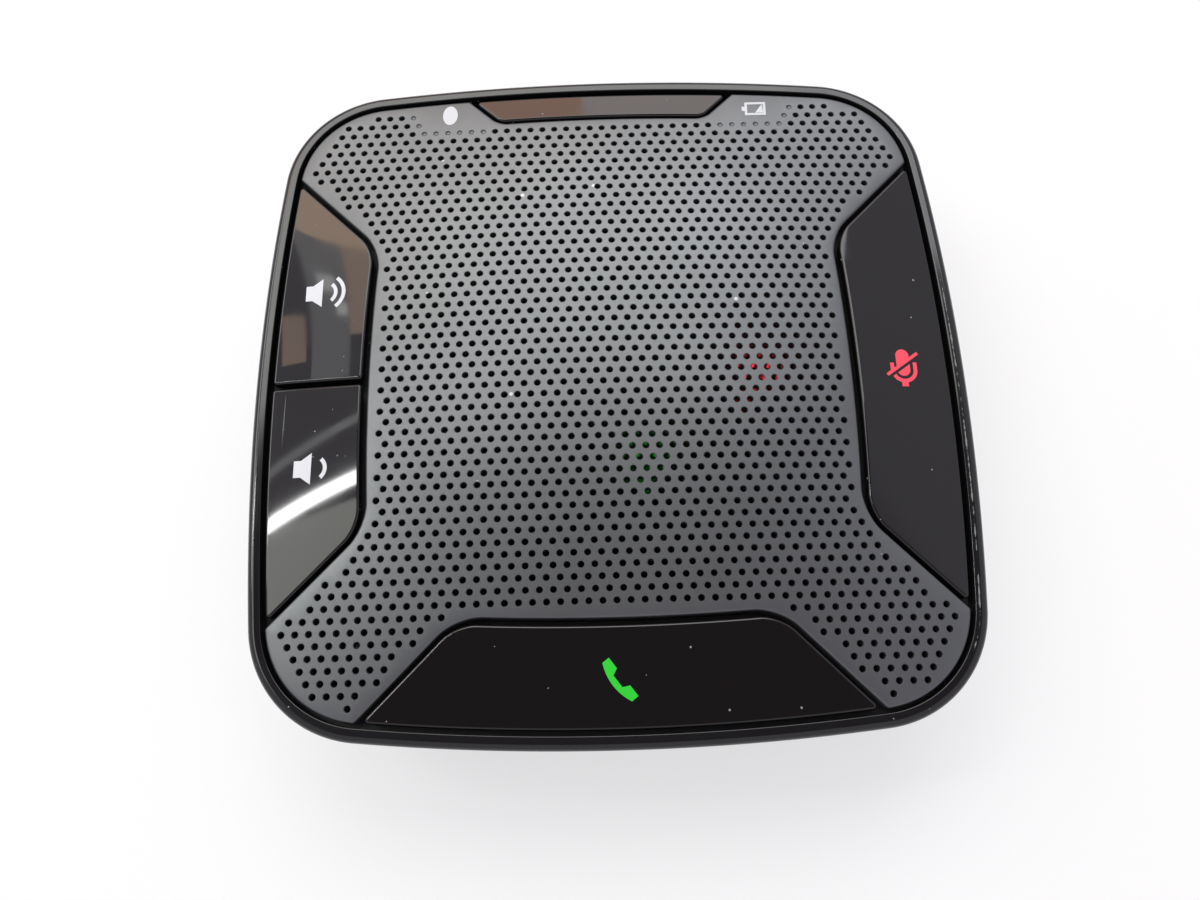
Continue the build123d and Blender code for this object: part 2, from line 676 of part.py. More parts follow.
def handset():
    """A telephone handset: a curved grip between two pads, lying from upper left to lower right."""
    with BuildSketch() as plan:
        with Locations(GRIP_CENTRE):
            Circle(GRIP_RADIUS + GRIP_WIDTH / 2)
            Circle(GRIP_RADIUS - GRIP_WIDTH / 2, mode=Mode.SUBTRACT)
            Rectangle(
                3 * GRIP_RADIUS,
                3 * GRIP_RADIUS,
                rotation=GRIP_TURN,
                align=(Align.MIN, Align.CENTER),
                mode=Mode.SUBTRACT,
            )
        with Locations(*EARPIECE_SPOTS):
            RectangleRounded(*EARPIECE, rotation=EARPIECE_TURN)
    return plan.sketch


def key(side, low, high, legs, plunger, symbol=None):
    """A key of one side between two stations along it, with hooked legs and a plunger."""
    with BuildPart() as cap:
        with BuildSketch(Plane.XY.offset(DECK_TOP)):
            add(
                recess(
                    RECESS_EDGE,
                    RECESS_SPREAD,
                    RECESS_CORNER - KEY_GAP_EDGE,
                    -KEY_GAP_EDGE,
                    -KEY_GAP_SIDE,
                ),
                rotation=side,
            )
            add(outline(KEY_INSET), mode=Mode.INTERSECT)
        extrude(amount=HEIGHT - DECK_TOP)
        add(under_crown(0, KEY_THICKNESS), mode=Mode.INTERSECT)
        with BuildSketch(side_plane(side, DECK_TOP)):
            with Locations((0, low)):
                Rectangle(WIDTH, high - low, align=(Align.MIN, Align.MIN))
        extrude(amount=HEIGHT - DECK_TOP, mode=Mode.INTERSECT)
        root = crown_height(PLUNGER_OUT, plunger) - KEY_THICKNESS / 2
        with BuildSketch(side_plane(side, ACTUATOR_TOP)):
            with Locations((PLUNGER_OUT, plunger)):
                Circle(PLUNGER_RADIUS)
        extrude(amount=root - ACTUATOR_TOP)
        hook_bottom = PARTING - HOOK_GAP - LEG_HOOK_HEIGHT
        for spot in legs:
            root = crown_height(LEG_OUT, spot) - KEY_THICKNESS / 2
            with BuildSketch(side_plane(side, hook_bottom)):
                with Locations((LEG_OUT, spot)):
                    Rectangle(LEG_THICKNESS, LEG_WIDTH)
            extrude(amount=root - hook_bottom)
            with BuildSketch(side_plane(side, hook_bottom)):
                with Locations((LEG_OUT + leg_shift, spot)):
                    Rectangle(LEG_THICKNESS + LEG_HOOK, LEG_WIDTH)
            extrude(amount=LEG_HOOK_HEIGHT)
        if symbol is not None:
            with BuildSketch(Plane.XY.offset(DECK_TOP)):
                add(symbol)
            extrude(amount=HEIGHT - DECK_TOP, mode=Mode.SUBTRACT)
    return cap


def lit_symbol(symbol):
    """A translucent symbol moulded through the thickness of a key."""
    with BuildPart() as window:
        with BuildSketch(Plane.XY.offset(DECK_TOP)):
            add(symbol)
        extrude(amount=HEIGHT - DECK_TOP)
        add(under_crown(0, KEY_THICKNESS), mode=Mode.INTERSECT)
    return window


mute_symbol = Pos(SYMBOL_OUT, 0) * struck_microphone()
call_symbol = Pos(0, -SYMBOL_OUT) * handset()
split = KEY_SPLIT / 2
volume_up_key = key(LEFT, -WIDTH / 2, -split, leg_spots[LEFT][:2], plunger_spots["volume_up"][1])
volume_down_key = key(LEFT, split, WIDTH / 2, leg_spots[LEFT][2:], plunger_spots["volume_down"][1])
mute_key = key(
    RIGHT, -WIDTH / 2, WIDTH / 2, leg_spots[RIGHT], plunger_spots["mute"][1], mute_symbol
)
call_key = key(
    FRONT, -WIDTH / 2, WIDTH / 2, leg_spots[FRONT], plunger_spots["call"][1], call_symbol
)
keep(volume_up_key, "volume_up_key")
keep(volume_down_key, "volume_down_key")
keep(mute_key, "mute_key")
keep(call_key, "call_key")
keep(lit_symbol(mute_symbol), "mute_symbol")
keep(lit_symbol(call_symbol), "call_symbol")


def light_guide(side):
    """A clear rod that hangs by its flange in the deck, between a lamp and a key's symbol."""
    bottom = BOARD_TOP + LED_HEIGHT + LED_GAP
    top = crown_height(SYMBOL_OUT, 0) - KEY_THICKNESS - GUIDE_AIR
    with BuildPart() as guide:
        with BuildSketch(side_plane(side, bottom)):
            with Locations((SYMBOL_OUT, 0)):
                Circle(GUIDE_RADIUS)
        extrude(amount=top - bottom)
        with BuildSketch(side_plane(side, DECK_TOP)):
            with Locations((SYMBOL_OUT, 0)):
                Circle(GUIDE_RADIUS + GUIDE_FLANGE)
        extrude(amount=GUIDE_FLANGE)
    return guide


keep(light_guide(RIGHT), "mute_light_guide")
keep(light_guide(FRONT), "call_light_guide")

# ---- Driver ------------------------------------------------------------------------------------
with BuildPart() as speaker_frame:
    with BuildSketch(Plane.XZ):
        with BuildLine():
            Polyline(
                (BASKET_HOLE, BASKET_BOTTOM),
                (BASKET_RADIUS, BASKET_BOTTOM),
                (BASKET_RADIUS, FLANGE_TOP - FLANGE_THICKNESS),
                (RIM_OUTER, FLANGE_TOP - FLANGE_THICKNESS),
                (RIM_OUTER, FLANGE_TOP),
                (BASKET_INNER, FLANGE_TOP),
                (BASKET_INNER, SPIDER_LEVEL),
                (BASKET_INNER - STEP_WIDTH, SPIDER_LEVEL),
                (BASKET_INNER - STEP_WIDTH, SPIDER_LEVEL - BASKET_STEP),
                (BASKET_HOLE, SPIDER_LEVEL - BASKET_STEP),
                close=True,
            )
        make_face()
    revolve(axis=Axis.Z)
    with BuildSketch(Plane.XY.offset(FLANGE_TOP - FLANGE_THICKNESS)):
        with Locations(*ear_spots):
            Circle(EAR_RADIUS)
        with PolarLocations(0, len(ear_spots), start_angle=45):
            Rectangle(EAR_OUT, 2 * EAR_RADIUS, align=(Align.MIN, Align.CENTER))
        Circle(RIM_OUTER - GASKET_WIDTH, mode=Mode.SUBTRACT)
    extrude(amount=FLANGE_THICKNESS)
    with BuildSketch(Plane.XY.offset(FLANGE_TOP - FLANGE_THICKNESS)):
        with Locations(*ear_spots):
            Circle(SHANK_RADIUS + PASS_CLEARANCE)
    extrude(amount=FLANGE_THICKNESS, mode=Mode.SUBTRACT)
    # Vents round the wall, between the spider's ledge and the flange.
    vent_height = FLANGE_TOP - FLANGE_THICKNESS - SPIDER_LEVEL
    with Locations((0, 0, SPIDER_LEVEL + vent_height / 2)):
        with PolarLocations(BASKET_RADIUS - BASKET_WALL / 2, BASKET_WINDOWS, start_angle=30):
            Box(4 * BASKET_WALL, BASKET_RADIUS / 2, vent_height / 2, mode=Mode.SUBTRACT)
keep(speaker_frame, "speaker_frame")

top_plate = turned(
    [
        (WINDING_OUTER + POLE_GAP, PLATE_BOTTOM),
        (TOP_PLATE_RADIUS, PLATE_BOTTOM),
        (TOP_PLATE_RADIUS, BASKET_BOTTOM),
        (WINDING_OUTER + POLE_GAP, BASKET_BOTTOM),
    ]
)
keep(top_plate, "speaker_top_plate")

magnet = turned(
    [
        (MAGNET_BORE, MAGNET_BOTTOM),
        (MAGNET_RADIUS, MAGNET_BOTTOM),
        (MAGNET_RADIUS, PLATE_BOTTOM),
        (MAGNET_BORE, PLATE_BOTTOM),
    ]
)
keep(magnet, "speaker_magnet")

yoke = turned(
    [
        (0, YOKE_BOTTOM),
        (YOKE_RADIUS, YOKE_BOTTOM),
        (YOKE_RADIUS, MAGNET_BOTTOM),
        (POLE_RADIUS, MAGNET_BOTTOM),
        (POLE_RADIUS, BASKET_BOTTOM),
        (0, BASKET_BOTTOM),
    ]
)
keep(yoke, "speaker_yoke")

winding_middle = (PLATE_BOTTOM + BASKET_BOTTOM) / 2
voice_coil = turned(
    [
        (FORMER_INNER, winding_middle - WINDING_HEIGHT / 2),
        (WINDING_OUTER, winding_middle - WINDING_HEIGHT / 2),
        (WINDING_OUTER, winding_middle + WINDING_HEIGHT / 2),
        (FORMER_OUTER, winding_middle + WINDING_HEIGHT / 2),
        (FORMER_OUTER, CONE_BOTTOM + CONE_WALL),
        (FORMER_INNER, CONE_BOTTOM + CONE_WALL),
    ]
)
keep(voice_coil, "voice_coil")

# The spider: a flat rim on the ledge, then waves in to the former.
spider_outer = BASKET_INNER - 2 * SPIDER_CLEARANCE
spider_edge = BASKET_INNER - STEP_WIDTH
spider_inner = FORMER_OUTER + SPIDER_CLEARANCE
half_wave = (spider_edge - spider_inner) / (2 * SPIDER_WAVES)
wave_line = [(spider_outer, SPIDER_LEVEL), (spider_edge, SPIDER_LEVEL)]
for index in range(1, 2 * SPIDER_WAVES):
    lift = SPIDER_WAVE_HEIGHT if index % 2 else 0
    wave_line.append((spider_edge - index * half_wave, SPIDER_LEVEL + lift))
wave_line.append((spider_inner, SPIDER_LEVEL))
spider = turned(wave_line + [(r, z + RIM_THICKNESS) for r, z in reversed(wave_line)])
keep(spider, "spider")

cone_slope = (CONE_DEPTH - RIM_THICKNESS) / (CONE_FOOT - FORMER_OUTER)


def cone_level(radius):
    """Height of the cone's upper face at a radius."""
    return CONE_BOTTOM + CONE_WALL + (radius - FORMER_OUTER) * cone_slope


speaker_cone = turned(
    [
        (FORMER_OUTER, CONE_BOTTOM),
        (CONE_FOOT, cone_level(CONE_FOOT) - CONE_WALL),
        (CONE_EDGE, FLANGE_TOP - RIM_THICKNESS),
        (CONE_EDGE, FLANGE_TOP),
        (CONE_FOOT, FLANGE_TOP),
        (FORMER_OUTER, CONE_BOTTOM + CONE_WALL),
    ]
)
keep(speaker_cone, "speaker_cone")

with BuildPart() as dust_cap:
    cap_inner = CAP_RADIUS - CAP_RIM
    with BuildSketch(Plane.XZ):
        with BuildLine():
            apex = cone_level(CAP_RADIUS) + CAP_RISE
            RadiusArc((0, apex), (CAP_RADIUS, cone_level(CAP_RADIUS)), CAP_RADIUS**2 / CAP_RISE)
            Line((CAP_RADIUS, cone_level(CAP_RADIUS)), (cap_inner, cone_level(cap_inner)))
            RadiusArc(
                (0, apex - CONE_WALL), (cap_inner, cone_level(cap_inner)), CAP_RADIUS**2 / CAP_RISE
            )
            Line((0, apex - CONE_WALL), (0, apex))
        make_face()
    revolve(axis=Axis.Z)
keep(dust_cap, "dust_cap")

with BuildPart() as surround:
    roll_centre = BASKET_INNER - ROLL_RADIUS
    with BuildSketch(Plane.XZ):
        with Locations((roll_centre, FLANGE_TOP)):
            Circle(ROLL_RADIUS + RIM_THICKNESS)
            Circle(ROLL_RADIUS, mode=Mode.SUBTRACT)
        with Locations((roll_centre, FLANGE_TOP)):
            Rectangle(
                3 * ROLL_RADIUS,
                3 * ROLL_RADIUS,
                align=(Align.CENTER, Align.MAX),
                mode=Mode.SUBTRACT,
            )
        with Locations((BASKET_INNER, FLANGE_TOP)):
            Rectangle(RIM_OUTER - BASKET_INNER, RIM_THICKNESS, align=(Align.MIN, Align.MIN))
        with Locations((CONE_EDGE, FLANGE_TOP)):
            Rectangle(CONE_LIP, RIM_THICKNESS, align=(Align.MAX, Align.MIN))
    revolve(axis=Axis.Z)
keep(surround, "cone_surround")

gasket = turned(
    [
        (RIM_OUTER - GASKET_WIDTH, PARTING - GASKET_THICKNESS),
        (RIM_OUTER, PARTING - GASKET_THICKNESS),
        (RIM_OUTER, PARTING),
        (RIM_OUTER - GASKET_WIDTH, PARTING),
    ]
)
keep(gasket, "speaker_gasket")

terminal_top = FLANGE_TOP - FLANGE_THICKNESS - TERMINAL_DROP
with BuildPart() as terminals:
    with Locations((-BASKET_RADIUS + BASKET_WALL, 0, terminal_top)):
        Box(
            TERMINAL_DEPTH + BASKET_WALL,
            TERMINAL_WIDTH,
            TERMINAL_HEIGHT,
            align=(Align.MAX, Align.CENTER, Align.MAX),
        )
    with Locations((0, 0, terminal_top)):
        Cylinder(BASKET_RADIUS, 3 * TERMINAL_HEIGHT, mode=Mode.SUBTRACT)
keep(terminals, "speaker_terminals")
ear_screw_length = DECK_TOP + EAR_BOSS_HEIGHT - 2 * BLIND_STOCK - FLANGE_TOP + FLANGE_THICKNESS
keep(screws(ear_spots, FLANGE_TOP - FLANGE_THICKNESS, ear_screw_length), "speaker_screws")

# ---- Board -------------------------------------------------------------------------------------
with BuildPart() as main_board:
    with BuildSketch(Plane.XY.offset(BOARD_BOTTOM)):
        add(outline(BOARD_INSET))
        Circle(BOARD_HOLE, mode=Mode.SUBTRACT)
        with Locations(*case_spots):
            Circle(CASE_POST_RADIUS + PASS_CLEARANCE, mode=Mode.SUBTRACT)
        with Locations(*board_spots):
            Circle(SHANK_RADIUS + PASS_CLEARANCE, mode=Mode.SUBTRACT)
    extrude(amount=BOARD_THICKNESS)
keep(main_board, "main_board")

for name, (side, spot) in plunger_spots.items():
    with BuildPart() as switch_body:
        with BuildSketch(side_plane(side, BOARD_TOP)):
            with Locations((PLUNGER_OUT, spot)):
                Rectangle(SWITCH_SIZE, SWITCH_SIZE)
        extrude(amount=SWITCH_HEIGHT)
        with BuildSketch(side_plane(side, SWITCH_TOP - SWITCH_BORE_DEPTH)):
            with Locations((PLUNGER_OUT, spot)):
                Circle(ACTUATOR_RADIUS + ACTUATOR_CLEARANCE)
        extrude(amount=SWITCH_BORE_DEPTH, mode=Mode.SUBTRACT)
    keep(switch_body, f"{name}_switch")
    with BuildPart() as actuator:
        with BuildSketch(side_plane(side, SWITCH_TOP - ACTUATOR_SUNK)):
            with Locations((PLUNGER_OUT, spot)):
                Circle(ACTUATOR_RADIUS)
        extrude(amount=ACTUATOR_SUNK + ACTUATOR_PROUD)
    keep(actuator, f"{name}_actuator")

led_size = (LED_LENGTH, LED_WIDTH, LED_HEIGHT)
keep(block(led_size, (SYMBOL_OUT, 0), BOARD_TOP), "mute_led")
keep(block(led_size, (0, -SYMBOL_OUT), BOARD_TOP), "call_led")
with BuildPart() as status_leds:
    with Locations((*STATUS_SPOT, BOARD_TOP), (*BATTERY_SPOT, BOARD_TOP)):
        Box(*led_size, align=(Align.CENTER, Align.CENTER, Align.MIN))
keep(status_leds, "status_leds")

keep(block(RADIO_SIZE, RADIO_SPOT, BOARD_TOP), "radio_module")
keep(
    block(PROCESSOR_SIZE, PROCESSOR_SPOT, BOARD_BOTTOM - PROCESSOR_SIZE[2]),
    "audio_processor",
)
keep(block(CHARGER_SIZE, CHARGER_SPOT, BOARD_BOTTOM - CHARGER_SIZE[2]), "charger_chip")
with BuildPart() as small_components:
    with Locations((PROCESSOR_SPOT[0] + 14, PROCESSOR_SPOT[1], BOARD_BOTTOM - PASSIVE_SIZE[2])):
        with GridLocations(PASSIVE_PITCH, PASSIVE_PITCH, 3, 3):
            Box(*PASSIVE_SIZE, align=(Align.CENTER, Align.CENTER, Align.MIN))
keep(small_components, "small_components")
keep(
    block(CONNECTOR_SIZE, BATTERY_CONNECTOR_SPOT, BOARD_BOTTOM - CONNECTOR_SIZE[2]),
    "battery_connector",
)
keep(block(CONNECTOR_SIZE, SPEAKER_CONNECTOR_SPOT, BOARD_TOP), "speaker_connector")

# ---- Charging socket and power switch, on the board's back edge --------------------------------------
with BuildPart() as socket_shell:
    with Locations((PORT_OUT, BACK_EDGE, socket_level)):
        Box(*SOCKET_SIZE, align=(Align.CENTER, Align.MAX, Align.CENTER))
        Box(
            SOCKET_SIZE[0] - 2 * SOCKET_WALL,
            SOCKET_SIZE[1] - SOCKET_WALL,
            SOCKET_SIZE[2] - 2 * SOCKET_WALL,
            align=(Align.CENTER, Align.MAX, Align.CENTER),
            mode=Mode.SUBTRACT,
        )
keep(socket_shell, "socket_shell")
with BuildPart() as socket_tongue:
    with Locations((PORT_OUT, BACK_EDGE - SOCKET_SIZE[1] + SOCKET_WALL, socket_level)):
        Box(*SOCKET_TONGUE, align=(Align.CENTER, Align.MIN, Align.CENTER))
keep(socket_tongue, "socket_tongue")

with BuildPart() as power_switch_body:
    with Locations((-PORT_OUT, BACK_EDGE, switch_level)):
        Box(*SLIDER_SIZE, align=(Align.CENTER, Align.MAX, Align.CENTER))
        Box(
            slot_length,
            KNOB_SINK + SLOT_GAP,
            KNOB_STEM[1] + 2 * KNOB_CLEARANCE,
            align=(Align.CENTER, Align.MAX, Align.CENTER),
            mode=Mode.SUBTRACT,
        )
keep(power_switch_body, "power_switch_body")
with BuildPart() as power_switch_knob:
    with Locations((knob_rest, BACK_EDGE - KNOB_SINK, switch_level)):
        Box(
            KNOB_STEM[0],
            THUMB_FLOOR + PAD_LIFT + KNOB_PAD[2] - BACK_EDGE + KNOB_SINK,
            KNOB_STEM[1],
            align=(Align.CENTER, Align.MIN, Align.CENTER),
        )
    with Locations((knob_rest, THUMB_FLOOR + PAD_LIFT, switch_level)):
        Box(
            KNOB_PAD[0],
            KNOB_PAD[2],
            KNOB_PAD[1],
            align=(Align.CENTER, Align.MIN, Align.CENTER),
        )
    chamfer(power_switch_knob.faces().sort_by(Axis.Y)[-1].edges(), PAD_LIFT)
keep(power_switch_knob, "power_switch_knob")

# ---- Microphones -------------------------------------------------------------------------------
capsule_bottom = DECK_TOP - BOOT_WALL - MIC_HEIGHT
for name, spot in zip(("right_microphone", "left_microphone"), mic_spots):
    with BuildPart() as capsule:
        with BuildSketch(Plane.XY.offset(capsule_bottom)):
            with Locations(spot):
                Circle(MIC_RADIUS)
        extrude(amount=MIC_HEIGHT)
    keep(capsule, name)
with BuildPart() as microphone_boots:
    with BuildSketch(Plane.XY.offset(BOARD_TOP)):
        with Locations(*mic_spots):
            Circle(boot_radius)
    extrude(amount=DECK_TOP - BOARD_TOP)
    with BuildSketch(Plane.XY.offset(BOARD_TOP)):
        with Locations(*mic_spots):
            Circle(MIC_RADIUS)
    extrude(amount=DECK_TOP - BOOT_WALL - BOARD_TOP, mode=Mode.SUBTRACT)
    with BuildSketch(Plane.XY.offset(BOARD_TOP)):
        with Locations(*mic_spots):
            Circle(BOOT_PORT)
    extrude(amount=DECK_TOP - BOARD_TOP, mode=Mode.SUBTRACT)
keep(microphone_boots, "microphone_boots")

# ---- Battery -----------------------------------------------------------------------------------
cell_bottom = FLOOR_TOP + CELL_PAD
keep(block((CELL_SIZE[0], CELL_SIZE[1], CELL_PAD), CELL_SPOT, FLOOR_TOP), "battery_pad")
with BuildPart() as battery_cell:
    with Locations((*CELL_SPOT, cell_bottom)):
        Box(*CELL_SIZE, align=(Align.CENTER, Align.CENTER, Align.MIN))
    fillet(battery_cell.edges().filter_by(Axis.Z), CELL_EDGE)
keep(battery_cell, "battery_cell")

# ---- Internal leads ------------------------------------------------------------------------------
cell_lead_level = cell_bottom + CELL_SIZE[2] / 2
battery_plug_level = BOARD_BOTTOM - CONNECTOR_SIZE[2] / 2
battery_plug_face = BATTERY_CONNECTOR_SPOT[1] - CONNECTOR_SIZE[1] / 2
BATTERY_LEAD = [
    (CELL_SPOT[0] - CELL_SIZE[0] / 2, -23.0, cell_lead_level),
    (-31.5, -23.0, cell_lead_level),
    (BATTERY_CONNECTOR_SPOT[0], -22.0, 9.5),
    (BATTERY_CONNECTOR_SPOT[0], -16.0, battery_plug_level),
    (BATTERY_CONNECTOR_SPOT[0], battery_plug_face, battery_plug_level),
]
battery_lead = lead(BATTERY_LEAD, BATTERY_LEAD_DIAMETER)
keep(battery_lead, "battery_lead")

terminal_face = -BASKET_RADIUS - TERMINAL_DEPTH
connector_face = SPEAKER_CONNECTOR_SPOT[0] + CONNECTOR_SIZE[0] / 2
connector_level = BOARD_TOP + CONNECTOR_SIZE[2] / 2 + 0.2
SPEAKER_LEAD = [
    (terminal_face, -1.0, terminal_top - TERMINAL_HEIGHT / 3),
    (terminal_face - 3.2, -1.0, terminal_top - TERMINAL_HEIGHT / 3),
    (connector_face + 3.0, SPEAKER_CONNECTOR_SPOT[1], connector_level),
    (connector_face, SPEAKER_CONNECTOR_SPOT[1], connector_level),
]
speaker_lead = lead(SPEAKER_LEAD, SPEAKER_LEAD_DIAMETER)
keep(speaker_lead, "speaker_lead")

# ---- Screws of the board and the case ------------------------------------------------------------
keep(
    screws(board_spots, BOARD_BOTTOM, DECK_TOP - 2 * BLIND_STOCK - BOARD_BOTTOM),
    "board_screws",
)
keep(
    screws(
        case_spots,
        CASE_WEB_TOP - CASE_WEB,
        DECK_TOP - 2 * BLIND_STOCK - CASE_WEB_TOP + CASE_WEB,
    ),
    "case_screws",
)
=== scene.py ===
# A square desk speakerphone: its perforated grille, gloss keys, bezel and housing, drawn as
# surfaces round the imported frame, with their finishes, a pale desk and soft studio light.
# Sizes are in millimetres. X points right, Y to the back, where the name plate is, and Z up.

import json
import logging
from dataclasses import dataclass, field
from enum import Enum
from math import atan, cos, pi, radians, sin, sqrt
from typing import Callable, Sequence

import bpy
import numpy as np
from mathutils import Matrix, Vector
from mathutils.geometry import delaunay_2d_cdt


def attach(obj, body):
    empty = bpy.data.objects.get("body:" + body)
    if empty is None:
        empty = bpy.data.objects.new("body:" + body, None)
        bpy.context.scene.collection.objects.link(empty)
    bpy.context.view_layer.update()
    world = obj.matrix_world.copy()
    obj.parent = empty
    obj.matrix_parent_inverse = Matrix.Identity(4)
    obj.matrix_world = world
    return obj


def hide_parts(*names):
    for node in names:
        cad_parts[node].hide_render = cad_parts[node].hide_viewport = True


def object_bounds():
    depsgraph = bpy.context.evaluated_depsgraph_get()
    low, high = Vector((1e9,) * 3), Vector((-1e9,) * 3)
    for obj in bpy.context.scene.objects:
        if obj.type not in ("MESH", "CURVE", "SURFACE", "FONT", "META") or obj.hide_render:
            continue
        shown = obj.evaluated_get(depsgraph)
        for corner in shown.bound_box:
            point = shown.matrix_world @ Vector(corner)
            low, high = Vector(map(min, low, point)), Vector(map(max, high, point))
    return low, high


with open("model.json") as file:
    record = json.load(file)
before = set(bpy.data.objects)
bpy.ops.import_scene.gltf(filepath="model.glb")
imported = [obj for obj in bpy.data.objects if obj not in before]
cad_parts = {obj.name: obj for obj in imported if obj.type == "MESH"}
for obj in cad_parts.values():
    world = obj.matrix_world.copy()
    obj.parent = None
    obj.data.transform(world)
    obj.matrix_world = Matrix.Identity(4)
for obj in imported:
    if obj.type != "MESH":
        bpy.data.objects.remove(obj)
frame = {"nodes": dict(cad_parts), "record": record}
CAD_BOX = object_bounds()
MM = 0.001
LOG = logging.getLogger("speakerphone")

# edge_loop: its rays, its halvings of each, and the points it adds where an edge bends.
RAYS = 16384
HALVINGS = 45
BEND_SHARE = 1.5
# fill: what holds a triangle, the last listed winning, and how close points are merged.
OUTSIDE, SOLID, CUT, OVER = -1, 0, 1, 2
MERGE = 1e-7
# Meshes: the sharpest mitre, the angle that shades sharp, and a box's broken edge.
LEAST_LEAN = 0.35
SHARP_ANGLE = radians(32)
BOX_BREAK = 0.02
# Signs: points along an arc, and round a bar's end.
ARC_STEPS, END_STEPS = 26, 15
# The angle between a recess's inner edge and its sides, which stand at 45 degrees.
RECESS_ANGLE = 135.0
# The angle at a key's outer tips, between those sides and the outline.
TIP_ANGLE = 45.0

Array = np.ndarray
Colour = tuple[float, float, float]
Field = Callable[[Array, Array], Array]
Spot = tuple[float, float]
Size = tuple[float, float, float]


# ---- Plan shapes -----------------------------------------------------------------------------


class Side(Enum):
    """A side of the object, by the turn about +Z, in degrees, that brings +X round to it."""

    RIGHT = 0
    BACK = 90
    LEFT = 180
    FRONT = 270

    def local(self, x: Array, y: Array) -> tuple[Array, Array]:
        """Turn plan coordinates so that this side is at +X.

        Args:
            x: Plan X of each point.
            y: Plan Y of each point.

        Returns:
            How far each point lies out towards this side, and how far along it.
        """
        turn = radians(self.value)
        return x * cos(turn) + y * sin(turn), y * cos(turn) - x * sin(turn)


def within_both(first: Array, second: Array, radius: float, angle: float = 90.0) -> Array:
    """Depth inside two regions at once, with the corner where their edges cross rounded.

    Away from the corner it is the lesser depth. Near it, the depth is taken from the circle
    (softening - first)^2 + (softening - second)^2 = softening^2, where the softening is
    2 * radius * cos^2(angle / 2), so that a corner of any angle is rounded to the radius.

    Args:
        first: Depth of each point inside one region, positive inside.
        second: Depth of each point inside the other.
        radius: Radius of the rounded corner.
        angle: Angle of the corner in degrees.

    Returns:
        Depth of each point inside the rounded region.
    """
    soft = 2 * radius * cos(radians(angle) / 2) ** 2
    lean = np.hypot(np.maximum(soft - first, 0), np.maximum(soft - second, 0))
    return np.maximum(soft, np.minimum(first, second)) - lean


@dataclass(frozen=True)
class Outline:
    """The object's plan: four bowed sides, each an arc, and four round corners."""

    half: float = 55.0
    bow: float = 360.0
    corner: float = 17.8

    @property
    def back(self) -> float:
        """Where on its axis the arc of a side has its centre."""
        return self.half - self.bow

    @property
    def corner_spot(self) -> float:
        """Out along X, and along Y, to the centre of a corner's arc."""
        reach = self.bow - self.corner
        return (self.back + sqrt(2 * reach**2 - self.back**2)) / 2

    def depth(self, x: Array, y: Array) -> Array:
        """Distance of each point in from the outline.

        By symmetry only one quarter is worked out: the radius of the nearer side's arc less the
        distance from its centre, or in the corner's sector the same with the corner's arc.

        Args:
            x: Plan X of each point.
            y: Plan Y of each point.

        Returns:
            The distances, positive inside.
        """
        x, y = np.abs(x), np.abs(y)
        sides = self.bow - np.maximum(np.hypot(x - self.back, y), np.hypot(x, y - self.back))
        lean = self.corner_spot / (self.corner_spot - self.back)
        from_spot = x - self.corner_spot, y - self.corner_spot
        cornered = (from_spot[1] > lean * from_spot[0]) & (from_spot[0] > lean * from_spot[1])
        return np.where(cornered, self.corner - np.hypot(*from_spot), sides)

    def loop(self, inset: float | Array, side_steps: int = 30, corner_steps: int = 26) -> Array:
        """Points round the outline, counter-clockwise from above.

        Each point is its arc's centre plus (radius - inset) times a unit direction, whose angle
        runs evenly along each arc, so loops of all insets are exact offsets of each other.

        Args:
            inset: How far the loop is drawn in, one number or one for each of several loops.
            side_steps: Points along each side.
            corner_steps: Points round each corner.

        Returns:
            An array of loops, points and X and Y, or of points and X and Y for a single inset.
        """
        edge = atan(self.corner_spot / (self.corner_spot - self.back))
        side = np.linspace(-edge, edge, side_steps, endpoint=False)
        bend = np.linspace(edge, pi / 2 - edge, corner_steps, endpoint=False)
        angle = np.concatenate([side, bend])
        on_side = np.arange(angle.size) < side_steps
        radius = np.where(on_side, self.bow, self.corner)
        middle = np.stack(
            [np.where(on_side, self.back, self.corner_spot), np.where(on_side, 0, self.corner_spot)]
        )
        turns = np.arange(4) * pi / 2
        whole = (angle + turns[:, None]).ravel()
        quarter = np.stack(
            [
                np.outer(np.cos(turns), middle[0]) - np.outer(np.sin(turns), middle[1]),
                np.outer(np.sin(turns), middle[0]) + np.outer(np.cos(turns), middle[1]),
            ]
        ).reshape(2, -1)
        reach = np.tile(radius, 4) - np.asarray(inset)[..., None]
        return np.stack(
            [quarter[0] + reach * np.cos(whole), quarter[1] + reach * np.sin(whole)], axis=-1
        )


@dataclass(frozen=True)
class Recess:
    """A recess in one side: a bowed inner edge between two 45 degree sides."""

    edge: float
    spread: float
    corner: float

    def depth(self, outline: Outline, side: Side, x: Array, y: Array) -> Array:
        """Depth inside the recess, whose inner edge is an arc about the centre of the side's.

        Each 45 degree side is the line where the distance out is the distance along plus spread.
        """
        return within_both(*self.edges(outline, side, x, y), self.corner, RECESS_ANGLE)

    def edges(self, outline: Outline, side: Side, x: Array, y: Array) -> tuple[Array, Array]:
        """Measure each point from the recess's edges.

        Args:
            outline: The object's outline.
            side: The side that the recess is in.
            x: Plan X of each point.
            y: Plan Y of each point.

        Returns:
            Its distance out from the inner edge, and in from the nearer 45 degree side.
        """
        out, along = side.local(x, y)
        inner = np.hypot(out - outline.back, along) - (self.edge - outline.back)
        return inner, (out - np.abs(along) - self.spread) / sqrt(2)


